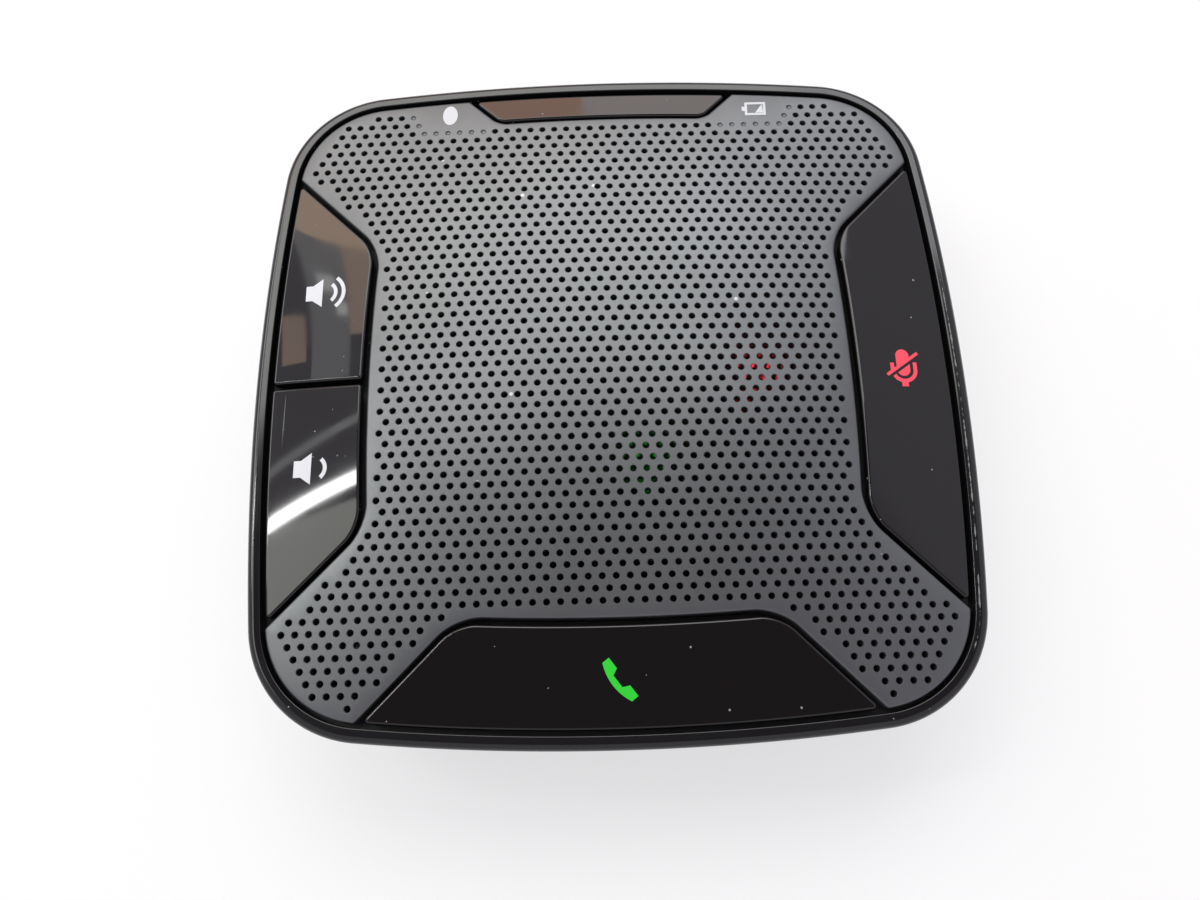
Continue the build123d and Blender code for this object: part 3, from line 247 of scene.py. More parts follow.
@dataclass(frozen=True)
class Crown:
    """The gently domed top that the grille, the keys and the name plate share."""

    rim: float = 26.7
    rise: float = 3.3
    half: float = 52.4

    def height(self, x: Array, y: Array) -> Array:
        """Rim height plus the rise times (1 - (x/half)^2) times (1 - (y/half)^2)."""
        return self.rim + self.rise * (1 - (x / self.half) ** 2) * (1 - (y / self.half) ** 2)

    def normal(self, x: Array, y: Array) -> Array:
        """Unit normals of the crown: (-dz/dx, -dz/dy, 1), scaled to length 1.

        Args:
            x: Plan X of each point.
            y: Plan Y of each point.

        Returns:
            A normal for each point.
        """
        fall = 2 * self.rise / self.half**2
        steep = np.stack(
            [
                fall * x * (1 - (y / self.half) ** 2),
                fall * y * (1 - (x / self.half) ** 2),
                np.ones_like(x),
            ],
            axis=-1,
        )
        return steep / np.linalg.norm(steep, axis=-1, keepdims=True)


def edge_loop(depth: Field, centre: Spot, reach: Spot, pitch: float) -> Array:
    """Find the edge of a region that its centre can see all of.

    Rays leave the centre at (reach_x cos t, reach_y sin t), and halving finds where the depth
    along each falls to zero. The edge is then divided evenly in its length plus BEND_SHARE times
    the angle that it has turned through, which puts more points where it bends.

    Args:
        depth: Depth of a point inside the region.
        centre: A spot inside the region.
        reach: About half the region's width and depth.
        pitch: Distance between points where the edge is straight.

    Returns:
        The points of the edge in plan, counter-clockwise.
    """
    turn = np.linspace(0, 2 * pi, RAYS, endpoint=False)
    ray_x, ray_y = reach[0] * np.cos(turn), reach[1] * np.sin(turn)
    near, far = np.zeros(RAYS), np.full(RAYS, 3.0)
    for _ in range(HALVINGS):
        middle = (near + far) / 2
        inside = depth(centre[0] + ray_x * middle, centre[1] + ray_y * middle) > 0
        near, far = np.where(inside, middle, near), np.where(inside, far, middle)
    path = np.stack([centre[0] + ray_x * near, centre[1] + ray_y * near], axis=1)
    closed = np.vstack([path, path[:1]])
    step = np.diff(closed, axis=0)
    heading = np.unwrap(np.arctan2(step[:, 1], step[:, 0]))
    bend = np.abs(np.diff(heading, append=heading[0] + 2 * pi))
    weight = np.concatenate([[0], np.cumsum(np.hypot(*step.T) + BEND_SHARE * bend)])
    count = int(weight[-1] / pitch)
    at = np.arange(count) * weight[-1] / count
    return np.stack([np.interp(at, weight, closed[:, axis]) for axis in (0, 1)], axis=1)


def ring(spots: Array, radius: float, steps: int) -> Array:
    """Draw circles in plan: each spot plus the radius times (cos t, sin t), t in even steps.

    Args:
        spots: Centres of the circles.
        radius: Their radius.
        steps: Points round each.

    Returns:
        An array of circles, points and X and Y.
    """
    angle = 2 * pi * np.arange(steps) / steps
    circle = np.stack([np.cos(angle), np.sin(angle)], axis=1)
    return np.asarray(spots)[:, None, :] + radius * circle


# ---- Meshes ----------------------------------------------------------------------------------


def linked(name: str, data: bpy.types.ID, seen: bool = True) -> bpy.types.Object:
    """Make an object and link it to the scene.

    Args:
        name: Its name.
        data: Its mesh, lamp or camera.
        seen: Whether the camera sees it.

    Returns:
        The object.
    """
    made = bpy.data.objects.new(name, data)
    made.visible_camera = seen
    bpy.context.collection.objects.link(made)
    return made


@dataclass
class Net:
    """A flat region in triangles, counter-clockwise, with its free edges."""

    points: Array
    triangles: Array
    edges: Array
    at_hole: Array

    def outward(self) -> Array:
        """Mitred directions that lead out of the region at the start of each free edge.

        It is the sum of the unit normals of the edges that meet there, over 1 plus their dot
        product, so that one step along it moves both edges out by one.

        Returns:
            A direction for each free edge.
        """
        step = self.points[self.edges[:, 1]] - self.points[self.edges[:, 0]]
        step = step / np.linalg.norm(step, axis=1, keepdims=True)
        after = np.stack([step[:, 1], -step[:, 0]], axis=1)
        before = np.zeros((len(self.points), 2))
        before[self.edges[:, 1]] = after
        before = before[self.edges[:, 0]]
        lean = 1 + np.sum(before * after, axis=1, keepdims=True)
        return (before + after) / np.maximum(lean, LEAST_LEAN)


def fill(solid: Sequence[Array], cut: Sequence[Array] = (), over: Sequence[Array] = (),
         extra: Array | None = None) -> Net:
    """Triangulate the union of some loops, less others.

    Args:
        solid: Loops whose insides are filled.
        cut: Loops whose insides are left open.
        over: Loops that stay filled even where a cut crosses them.
        extra: More points to use inside.

    Returns:
        The triangles that are kept, and the edges that only one of them has.
    """
    loops = [*solid, *cut, *over]
    starts = np.cumsum([0] + [len(loop) for loop in loops])
    faces = [list(range(a, b)) for a, b in zip(starts, starts[1:])]
    spots = [*loops] if extra is None else [*loops, extra]
    flat = np.concatenate(spots)
    corners = [Vector(spot) for spot in flat.tolist()]
    made = delaunay_2d_cdt(corners, [], faces, 1, MERGE, True)
    kinds = np.repeat([SOLID, CUT, OVER], [len(solid), len(cut), len(over)])
    strongest = np.array([kinds[ids].max() if ids else OUTSIDE for ids in made[5]])
    points, triangles = np.array([tuple(p) for p in made[0]]), np.array(made[2])
    kept = triangles[(strongest == SOLID) | (strongest == OVER)]
    pairs = kept[:, [0, 1, 1, 2, 2, 0]].reshape(-1, 2)
    size = len(points)
    keys = pairs[:, 0] * size + pairs[:, 1]
    free = ~np.isin(keys, pairs[:, 1] * size + pairs[:, 0])
    edges = pairs[free]
    dropped = triangles[strongest == CUT][:, [0, 1, 1, 2, 2, 0]].reshape(-1, 2)
    at_hole = np.isin(edges[:, 1] * size + edges[:, 0], dropped[:, 0] * size + dropped[:, 1])
    return Net(points, kept, edges, at_hole)


@dataclass(frozen=True)
class EdgeForm:
    """How a moulding turns down at a free edge: steps out and down, then an optional wall."""

    out: tuple[float, ...] = (0.0,)
    down: tuple[float, ...] = (0.0,)
    wall_to: float | None = None
    wall_in: float = 0.0

    @classmethod
    def rounded(cls, radius: float, steps: int = 5, **wall: float) -> "EdgeForm":
        """A quarter round: out by radius sin t and down by radius (1 - cos t)."""
        turn = np.linspace(0, pi / 2, steps + 1)
        return cls(tuple(radius * np.sin(turn)), tuple(radius * (1 - np.cos(turn))), **wall)


class Skin:
    """The points and faces of one piece, in millimetres, on their way to a mesh."""

    def __init__(self) -> None:
        """Start with no points."""
        self.points: list[Array] = []
        self.faces: list[list[int]] = []
        self.crowned = 0
        self.size = 0

    def add(self, points: Array, *faces: Array) -> int:
        """Add points with faces that count from the first of them.

        Args:
            points: The points, X, Y and Z.
            faces: Arrays of faces, three or four indices to a row.

        Returns:
            The index of the first added point.
        """
        start = self.size
        self.points.append(points)
        for group in faces:
            self.faces += (group + start).tolist()
        self.size += len(points)
        return start

    def sweep(self, rings: Array, closed: bool = False, cap_first: bool = False,
              cap_last: bool = False) -> None:
        """Add a band of quads through a stack of closed rings.

        Args:
            rings: Rings, points and coordinates. The rings go up where the points run
                counter-clockwise about the outside.
            closed: Whether the last ring joins the first.
            cap_first: Whether the first ring is closed with a fan.
            cap_last: Whether the last ring is closed with a fan.
        """
        layers, count = rings.shape[:2]
        here = np.arange(count)
        nxt = (here + 1) % count
        low = np.arange(layers if closed else layers - 1)[:, None]
        high = (low + 1) % layers * count
        quads = np.stack([low * count + here, low * count + nxt, high + nxt, high + here], axis=-1)
        points, fans = rings.reshape(-1, 3), []
        for wanted, layer, flip in ((cap_first, 0, True), (cap_last, layers - 1, False)):
            if wanted:
                middle = np.full(count, len(points))
                first, second = (nxt, here) if flip else (here, nxt)
                rim = first + layer * count, second + layer * count
                fans.append(np.stack([*rim, middle], axis=1))
                points = np.vstack([points, rings[layer].mean(axis=0)])
        self.add(points, quads.reshape(-1, 4), *fans)

    def box(self, size: Sequence[float], centre: Sequence[float]) -> None:
        """Add an upright box with the edges of its ends broken.

        Args:
            size: Its width, depth and height.
            centre: Its centre.
        """
        half = np.array(size) / 2
        cut = min(size) * BOX_BREAK
        corners = np.array([[1, -1], [1, 1], [-1, 1], [-1, -1]]) * half[:2]
        inner = corners - np.sign(corners) * cut
        low, high = -half[2], half[2]
        rows = [(inner, low), (corners, low + cut), (corners, high - cut), (inner, high)]
        rings = np.stack([np.column_stack([xy, np.full(4, z)]) for xy, z in rows])
        self.sweep(rings + np.array(centre), cap_first=True, cap_last=True)

    def moulding(self, net: Net, top: Field, thickness: float, outer: EdgeForm,
                 hole: EdgeForm = EdgeForm()) -> None:
        """Add a solid of even thickness under a top surface, with shaped edges.

        Each free edge of the net carries rings of points, each out and down from the edge by its
        form. The underside is the net again, moved out to the last ring and down.

        Args:
            net: The plan of the flat part of the top.
            top: Height of the top over a point.
            thickness: Depth from the top to the underside.
            outer: Form of the outer edges.
            hole: Form of the edges of holes.
        """
        size = len(net.points)
        upper = np.column_stack([net.points, top(*net.points.T)])
        start = self.add(upper, net.triangles)
        self.crowned = max(self.crowned, len(self.faces))
        under = net.points.copy()
        chains = []
        for form, chosen in ((outer, ~net.at_hole), (hole, net.at_hole)):
            edges, outward = net.edges[chosen], net.outward()[chosen]
            if not len(edges):
                continue
            first, spot = edges[:, 0], net.points[edges[:, 0]]
            level = top(*spot.T)
            rank = np.zeros(size, int)
            rank[first] = np.arange(len(first))
            rows = [(spot + outward * o, level - d) for o, d in zip(form.out, form.down)][1:]
            under[first] = spot + outward * (form.out[-1] - form.wall_in)
            if form.wall_to is not None:
                rows.append((spot + outward * form.out[-1], np.full(len(first), form.wall_to)))
                rows.append((under[first], np.full(len(first), form.wall_to)))
            chains.append((edges, rank, rows))
        lower = np.column_stack([under, top(*net.points.T) - thickness])
        bottom = self.add(lower, net.triangles[:, ::-1])
        for edges, rank, rows in chains:
            before = start + edges
            for xy, z in rows:
                base = self.add(np.column_stack([xy, z]))
                ring_now = base + rank[edges]
                self.strip(before, ring_now)
                before = ring_now
            self.strip(before, bottom + edges)

    def strip(self, upper: Array, lower: Array) -> None:
        """Join two rows of edges with quads that face the right of the edges."""
        quads = np.column_stack([upper[:, 0], lower[:, 0], lower[:, 1], upper[:, 1]])
        self.faces += quads.tolist()

    def build(self, name: str, body: str, slot: str, finish: "Finish",
              stands_for: Sequence[str] = (), crown: Crown | None = None) -> bpy.types.Object:
        """Make the Blender object, at the origin, with its place in its mesh.

        Args:
            name: Name of the piece.
            body: CAD body that it rides on.
            slot: Material slot of the record. Not used.
            finish: The finish.
            stands_for: CAD nodes that it replaces.
            crown: Give the faces of the moulded top the exact normals of this crown.

        Returns:
            The object.
        """
        points = np.concatenate(self.points)
        mesh = bpy.data.meshes.new(name)
        mesh.from_pydata((points * MM).tolist(), [], self.faces)
        mesh.update()
        mesh.shade_smooth()
        mesh.set_sharp_from_angle(angle=SHARP_ANGLE)
        if crown is not None:
            self.set_crown_normals(mesh, points, crown)
        piece = linked(name, mesh)
        mesh.materials.append(finish.material())
        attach(piece, body)
        if stands_for:
            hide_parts(*stands_for)
        LOG.info("%s: %d faces on %s", name, len(self.faces), body)
        return piece

    def set_crown_normals(self, mesh: bpy.types.Mesh, points: Array, crown: Crown) -> None:
        """Set the exact normals of a crown on the first faces, and leave the others.

        Args:
            mesh: The mesh.
            points: Its points, in millimetres.
            crown: The crown.
        """
        corners = np.zeros(len(mesh.loops), int)
        mesh.loops.foreach_get("vertex_index", corners)
        normals = np.zeros((len(mesh.loops), 3))
        top = corners[: 3 * self.crowned]
        normals[: 3 * self.crowned] = crown.normal(*points[top, :2].T)
        mesh.normals_split_custom_set(normals.tolist())


# ---- Shader trees and shared effects ---------------------------------------------------------


class Tree:
    """Adds nodes to a node tree and joins them."""

    def __init__(self, nodes: bpy.types.NodeTree) -> None:
        """Work on one node tree."""
        self.nodes = nodes

    def add(self, kind: str, sockets: dict | None = None, **settings: object) -> bpy.types.Node:
        """Add one node.

        Args:
            kind: Blender's name for the type of node.
            sockets: Values or linked sockets, by the name or number of the input.
            settings: Properties of the node.

        Returns:
            The node.
        """
        node = self.nodes.nodes.new(kind)
        for key, value in settings.items():
            setattr(node, key, value)
        for key, value in (sockets or {}).items():
            if isinstance(value, bpy.types.NodeSocket):
                self.nodes.links.new(value, node.inputs[key])
            else:
                node.inputs[key].default_value = value
        return node

    def group(self, node_tree: bpy.types.NodeTree, **values: float) -> bpy.types.Node:
        """Add a node group with its inputs set.

        Args:
            node_tree: The group's tree.
            values: Values of its inputs, by name.

        Returns:
            The node.
        """
        return self.add("ShaderNodeGroup", values, node_tree=node_tree)

    def math(self, operation: str, *values: object) -> bpy.types.NodeSocket:
        """Add a Math node, clamped where it adds, subtracts or multiplies.

        Args:
            operation: Blender's name for the operation.
            values: Its values or linked sockets.

        Returns:
            The result.
        """
        node = self.add("ShaderNodeMath", dict(enumerate(values)), operation=operation)
        node.use_clamp = operation in ("MULTIPLY", "ADD", "SUBTRACT")
        return node.outputs[0]

    def mix(self, factor: object, first: object, second: object) -> bpy.types.NodeSocket:
        """Mix two colours and return the result."""
        node = self.add("ShaderNodeMix", {0: factor, 6: first, 7: second}, data_type="RGBA")
        return node.outputs[2]

    def ramp(self, value: object, low: float, high: float, to_low: float = 0.0,
             to_high: float = 1.0) -> bpy.types.NodeSocket:
        """Carry the span from low to high smoothly to another span.

        Args:
            value: The socket to carry over.
            low: Where the span starts.
            high: Where it ends.
            to_low: What the start becomes.
            to_high: What the end becomes.

        Returns:
            The result.
        """
        node = self.add(
            "ShaderNodeMapRange",
            {0: value, 1: low, 2: high, 3: to_low, 4: to_high},
            interpolation_type="SMOOTHSTEP",
        )
        return node.outputs[0]


def effect(name: str, inputs: dict[str, float], outputs: Sequence[str],
           body: Callable[["Tree", dict, Callable], None]) -> bpy.types.NodeTree:
    """Make a shared effect as a shader node group, or find it if it is made already.

    Args:
        name: Name of the group.
        inputs: Names and default values of its number inputs.
        outputs: Names of its number outputs.
        body: Fills the group, given the tree, its input sockets and a function that takes the
            name of an output and the socket that feeds it.

    Returns:
        The node group.
    """
    if name in bpy.data.node_groups:
        return bpy.data.node_groups[name]
    group = bpy.data.node_groups.new(name, "ShaderNodeTree")
    for key, value in inputs.items():
        socket = group.interface.new_socket(key, in_out="INPUT", socket_type="NodeSocketFloat")
        socket.default_value = value
    for key in outputs:
        group.interface.new_socket(key, in_out="OUTPUT", socket_type="NodeSocketFloat")
    tree = Tree(group)
    entry = tree.add("NodeGroupInput")
    leave = tree.add("NodeGroupOutput")
    body(tree, {key: entry.outputs[key] for key in inputs},
         lambda key, socket: group.links.new(socket, leave.inputs[key]))
    return group


def fill_grain(tree: Tree, given: dict, give: Callable) -> None:
    """Moulded grain: fine noise for the height, coarse noise for slow changes of tone.

    Args:
        tree: The group's tree.
        given: Its input sockets by name.
        give: Feeds a named output from a socket.
    """
    place = tree.add("ShaderNodeTexCoord").outputs["Object"]
    fine = tree.add("ShaderNodeTexNoise", {"Vector": place, "Scale": given["Scale"],
                                           "Detail": 3.0, "Roughness": 0.65})
    slow = tree.add("ShaderNodeTexNoise", {"Vector": place, "Scale": 45.0, "Detail": 4.0})
    give("Height", fine.outputs[0])
    give("Tone", tree.ramp(slow.outputs[0], 0.3, 0.7))


def fill_dust(tree: Tree, given: dict, give: Callable) -> None:
    """Dust: one speck in each cell of a scatter, kept where the cell's random shade is low.

    A point is on the speck where its distance from the cell's spot is under Size times the
    cell's shade.

    Args:
        tree: The group's tree.
        given: Its input sockets by name.
        give: Feeds a named output from a socket.
    """
    place = tree.add("ShaderNodeTexCoord").outputs["Object"]
    cells = tree.add("ShaderNodeTexVoronoi", {"Vector": place, "Scale": given["Scale"]})
    parts = tree.add("ShaderNodeSeparateColor", {0: cells.outputs["Color"]})
    kept = tree.math("LESS_THAN", parts.outputs[0], given["Amount"])
    reach = tree.math("MULTIPLY", parts.outputs[1], given["Size"])
    spot = tree.math("LESS_THAN", cells.outputs["Distance"], reach)
    give("Mask", tree.math("MULTIPLY", kept, spot))


def fill_scratches(tree: Tree, given: dict, give: Callable) -> None:
    """Fine scratches on faces that look up: noise drawn out long, kept where it peaks.

    Args:
        tree: The group's tree.
        given: Its input sockets by name.
        give: Feeds a named output from a socket.
    """
    spot = tree.add("ShaderNodeTexCoord")
    place = spot.outputs["Object"]
    facing = tree.add("ShaderNodeSeparateXYZ", {0: spot.outputs["Normal"]})
    lines = []
    for turn, drawn in ((0.9, 1500.0), (-0.5, 1100.0)):
        laid = tree.add("ShaderNodeMapping", {"Vector": place, "Rotation": (0, 0, turn),
                                              "Scale": (drawn, 26.0, 26.0)})
        noise = tree.add("ShaderNodeTexNoise", {"Vector": laid.outputs[0], "Scale": 1.0,
                                                "Detail": 1.0})
        lines.append(tree.math("GREATER_THAN", noise.outputs[0], given["Threshold"]))
    patch = tree.add("ShaderNodeTexNoise", {"Vector": place, "Scale": 70.0, "Detail": 2.0})
    worn = tree.math("MULTIPLY", tree.ramp(patch.outputs[0], 0.5, 0.62),
                     tree.ramp(facing.outputs[2], 0.8, 0.95))
    give("Mask", tree.math("MULTIPLY", tree.math("MAXIMUM", *lines), worn))


def fill_wear(tree: Tree, given: dict, give: Callable) -> None:
    """Rubbed edges: the piece's own "edge" value, broken up by noise.

    Args:
        tree: The group's tree.
        given: Its input sockets by name.
        give: Feeds a named output from a socket.
    """
    place = tree.add("ShaderNodeTexCoord").outputs["Object"]
    edge = tree.add("ShaderNodeAttribute", attribute_name="edge")
    broken = tree.add("ShaderNodeTexNoise", {"Vector": place, "Scale": given["Scale"],
                                             "Detail": 6.0, "Roughness": 0.75})
    rubbed = tree.math("MULTIPLY", edge.outputs["Fac"], broken.outputs[0])
    least = tree.math("SUBTRACT", 1.0, given["Amount"])
    node = tree.add("ShaderNodeMapRange", {0: rubbed, 1: least, 2: tree.math("ADD", least, 0.06)})
    give("Mask", node.outputs[0])


class Effects:
    """The shared effects."""

    @staticmethod
    def grain() -> bpy.types.NodeTree:
        """Fine moulded grain."""
        return effect("moulded_grain", {"Scale": 4000.0}, ["Height", "Tone"], fill_grain)

    @staticmethod
    def dust() -> bpy.types.NodeTree:
        """Scattered dust specks."""
        return effect("dust_specks", {"Scale": 600.0, "Amount": 0.1, "Size": 0.2}, ["Mask"],
                      fill_dust)

    @staticmethod
    def scratches() -> bpy.types.NodeTree:
        """Fine scratches."""
        return effect("fine_scratches", {"Threshold": 0.72}, ["Mask"], fill_scratches)

    @staticmethod
    def wear() -> bpy.types.NodeTree:
        """Rubbed edges."""
        return effect("rubbed_edges", {"Scale": 300.0, "Amount": 0.5}, ["Mask"], fill_wear)


# ---- Finishes --------------------------------------------------------------------------------


@dataclass(frozen=True)
class Finish:
    """A surface finish. Each kind fills the tree of its material in dress()."""

    name: str
    colour: Colour
    roughness: float = 0.5

    def material(self) -> bpy.types.Material:
        """Make the material, or find it if it is made already.

        Its name must differ from its slot's, which names a plain material of the frame.

        Returns:
            The material.
        """
        name = f"{self.name}_finish"
        if name in bpy.data.materials:
            return bpy.data.materials[name]
        made = bpy.data.materials.new(name)
        made.use_nodes = True
        made.node_tree.nodes.clear()
        tree = Tree(made.node_tree)
        shader = tree.add("ShaderNodeBsdfPrincipled")
        output = tree.add("ShaderNodeOutputMaterial")
        made.node_tree.links.new(shader.outputs[0], output.inputs["Surface"])
        made.diffuse_color = (*self.colour, 1.0)
        self.dress(tree, shader)
        return made

    def dress(self, tree: Tree, shader: bpy.types.Node) -> None:
        """Fill the material's tree.

        Args:
            tree: The material's tree.
            shader: Its Principled shader.
        """
        raise NotImplementedError

    def join(self, tree: Tree, shader: bpy.types.Node, **sockets: object) -> None:
        """Link or set the shader's inputs.

        Args:
            tree: The material's tree.
            shader: Its Principled shader.
            sockets: Values or sockets by the input's name, with underscores for spaces.
        """
        for key, value in sockets.items():
            socket = shader.inputs[key.replace("_", " ")]
            if isinstance(value, bpy.types.NodeSocket):
                tree.nodes.links.new(value, socket)
            else:
                socket.default_value = value


@dataclass(frozen=True)
class Moulded(Finish):
    """Matt moulded plastic or rubber: grain, slow changes of tone and a little dust."""

    grain: float = 4500.0
    depth: float = 0.00002
    dust: float = 0.05
    dust_colour: Colour = (0.35, 0.35, 0.36)
    metallic: float = 0.0

    def dress(self, tree: Tree, shader: bpy.types.Node) -> None:
        """Tone in the colour, grain in the bump and the roughness, and specks over all.

        Args:
            tree: The material's tree.
            shader: Its Principled shader.
        """
        grain = tree.group(Effects.grain(), Scale=self.grain)
        dust = tree.group(Effects.dust(), Amount=self.dust)
        dark = tuple(0.88 * c for c in self.colour)
        toned = tree.mix(grain.outputs["Tone"], (*dark, 1.0), (*self.colour, 1.0))
        specked = tree.mix(dust.outputs["Mask"], toned, (*self.dust_colour, 1.0))
        rough = tree.ramp(grain.outputs["Height"], 0.3, 0.7, self.roughness - 0.04,
                          self.roughness + 0.04)
        bump = tree.add("ShaderNodeBump", {"Height": grain.outputs["Height"], "Strength": 0.5,
                                           "Distance": self.depth})
        self.join(tree, shader, Base_Color=specked, Roughness=rough, Normal=bump.outputs[0],
                  Metallic=self.metallic)


@dataclass(frozen=True)
class Gloss(Finish):
    """Polished plastic: dust specks, fine scratches, faint smears and rubbed edges."""

    dust: float = 0.10
    threshold: float = 0.80
    wear: float = 0.0
    worn_colour: Colour = (0.17, 0.195, 0.18)
    smear: float = 0.05
    speck_scale: float = 800.0
    speck_size: float = 0.14
    scratch_share: float = 0.35
    mark_colour: Colour = (0.22, 0.22, 0.23)
    mark_roughness: float = 0.5
    worn_roughness: float = 0.45

    def dress(self, tree: Tree, shader: bpy.types.Node) -> None:
        """Marks in the colour, and smears and marks in the roughness.

        Args:
            tree: The material's tree.
            shader: Its Principled shader.
        """
        dust = tree.group(Effects.dust(), Amount=self.dust, Scale=self.speck_scale,
                          Size=self.speck_size)
        lines = tree.group(Effects.scratches(), Threshold=self.threshold)
        grain = tree.group(Effects.grain())
        scratched = tree.math("MULTIPLY", lines.outputs[0], self.scratch_share)
        marks = tree.math("MAXIMUM", dust.outputs["Mask"], scratched)
        colour = tree.mix(marks, (*self.colour, 1.0), (*self.mark_colour, 1.0))
        rough = tree.ramp(grain.outputs["Tone"], 0.2, 0.8, self.roughness,
                          self.roughness + self.smear)
        rough = tree.math("MAXIMUM", rough, tree.math("MULTIPLY", marks, self.mark_roughness))
        if self.wear:
            worn = tree.group(Effects.wear(), Amount=self.wear)
            colour = tree.mix(worn.outputs["Mask"], colour, (*self.worn_colour, 1.0))
            dull = tree.math("MULTIPLY", worn.outputs["Mask"], self.worn_roughness)
            rough = tree.math("MAXIMUM", rough, dull)
        self.join(tree, shader, Base_Color=colour, Roughness=rough)


@dataclass(frozen=True)
class Lit(Finish):
    """A translucent part with a lamp behind it: brighter in slow patches."""

    glow: float = 1.0

    def dress(self, tree: Tree, shader: bpy.types.Node) -> None:
        """The colour as emission, a little uneven.

        Args:
            tree: The material's tree.
            shader: Its Principled shader.
        """
        grain = tree.group(Effects.grain())
        dim = tuple(0.8 * c for c in self.colour)
        lit = tree.mix(grain.outputs["Tone"], (*dim, 1.0), (*self.colour, 1.0))
        unlit = tree.mix(0.1, (0.01, 0.01, 0.01, 1.0), lit)
        self.join(tree, shader, Base_Color=unlit, Emission_Color=lit, Emission_Strength=self.glow)
        self.join(tree, shader, Roughness=self.roughness)


@dataclass(frozen=True)
class Metal(Finish):
    """Bare or plated metal, with a drawn grain that changes the roughness."""

    drawn: float = 900.0

    def dress(self, tree: Tree, shader: bpy.types.Node) -> None:
        """Noise drawn out along X in the roughness and the colour.

        Args:
            tree: The material's tree.
            shader: Its Principled shader.
        """
        place = tree.add("ShaderNodeTexCoord").outputs["Object"]
        laid = tree.add("ShaderNodeMapping", {"Vector": place,
                                              "Scale": (60.0, self.drawn, self.drawn)})
        noise = tree.add("ShaderNodeTexNoise", {"Vector": laid.outputs[0], "Scale": 1.0,
                                                "Detail": 4.0})
        dark = tuple(0.8 * c for c in self.colour)
        colour = tree.mix(noise.outputs[0], (*dark, 1.0), (*self.colour, 1.0))
        rough = tree.ramp(noise.outputs[0], 0.3, 0.7, self.roughness - 0.08, self.roughness + 0.08)
        self.join(tree, shader, Base_Color=colour, Roughness=rough, Metallic=1.0)


@dataclass(frozen=True)
class Cloth(Finish):
    """Woven cloth or pressed paper: two crossed waves, or fibres, in bump and colour."""

    threads: float = 1600.0

    def dress(self, tree: Tree, shader: bpy.types.Node) -> None:
        """Crossed sine bands for the weave.

        Args:
            tree: The material's tree.
            shader: Its Principled shader.
        """
        place = tree.add("ShaderNodeTexCoord").outputs["Object"]
        bands = [
            tree.add("ShaderNodeTexWave", {"Vector": place, "Scale": self.threads / 20,
                                           "Distortion": 1.5}, bands_direction=way).outputs["Fac"]
            for way in ("X", "Y")
        ]
        weave = tree.math("MULTIPLY", *bands)
        dark = tuple(0.7 * c for c in self.colour)
        colour = tree.mix(weave, (*dark, 1.0), (*self.colour, 1.0))
        bump = tree.add("ShaderNodeBump", {"Height": weave, "Strength": 0.4, "Distance": 0.00005})
        self.join(tree, shader, Base_Color=colour, Roughness=self.roughness, Normal=bump.outputs[0])


@dataclass(frozen=True)
class Clear(Finish):
    """Clear acrylic."""

    def dress(self, tree: Tree, shader: bpy.types.Node) -> None:
        """Plain transmission with a faint tone in the colour.

        Args:
            tree: The material's tree.
            shader: Its Principled shader.
        """
        grain = tree.group(Effects.grain())
        dim = tuple(0.93 * c for c in self.colour)
        colour = tree.mix(grain.outputs["Tone"], (*dim, 1.0), (*self.colour, 1.0))
        self.join(tree, shader, Base_Color=colour, Roughness=self.roughness,
                  Transmission_Weight=1.0)


GRILLE_GREY = Moulded("grille_grey", (0.126, 0.133, 0.138), 0.37, 5200.0, 0.000006, 0.035,
                      metallic=0.7)
KEY_GLOSS = Gloss("key_gloss", (0.0045, 0.0040, 0.0042), 0.02, smear=0.03)
PLATE_GLOSS = Gloss("plate_gloss", (0.0045, 0.0040, 0.0045), 0.03)
BEZEL_GLOSS = Gloss("bezel_gloss", (0.0060, 0.0062, 0.0068), 0.08, wear=0.62)
HOUSING_BLACK = Moulded("housing_black", (0.012, 0.012, 0.013), 0.38, 3600.0, 0.00003, 0.02)
MUTE_RED = Lit("mute_red", (1.0, 0.055, 0.10), 0.4, 1.0)
CALL_GREEN = Lit("call_green", (0.010, 0.58, 0.018), 0.4, 1.0)
SIGN_WHITE = Moulded("sign_white", (0.62, 0.64, 0.66), 0.5, 5000.0, 0.00001, 0.0)
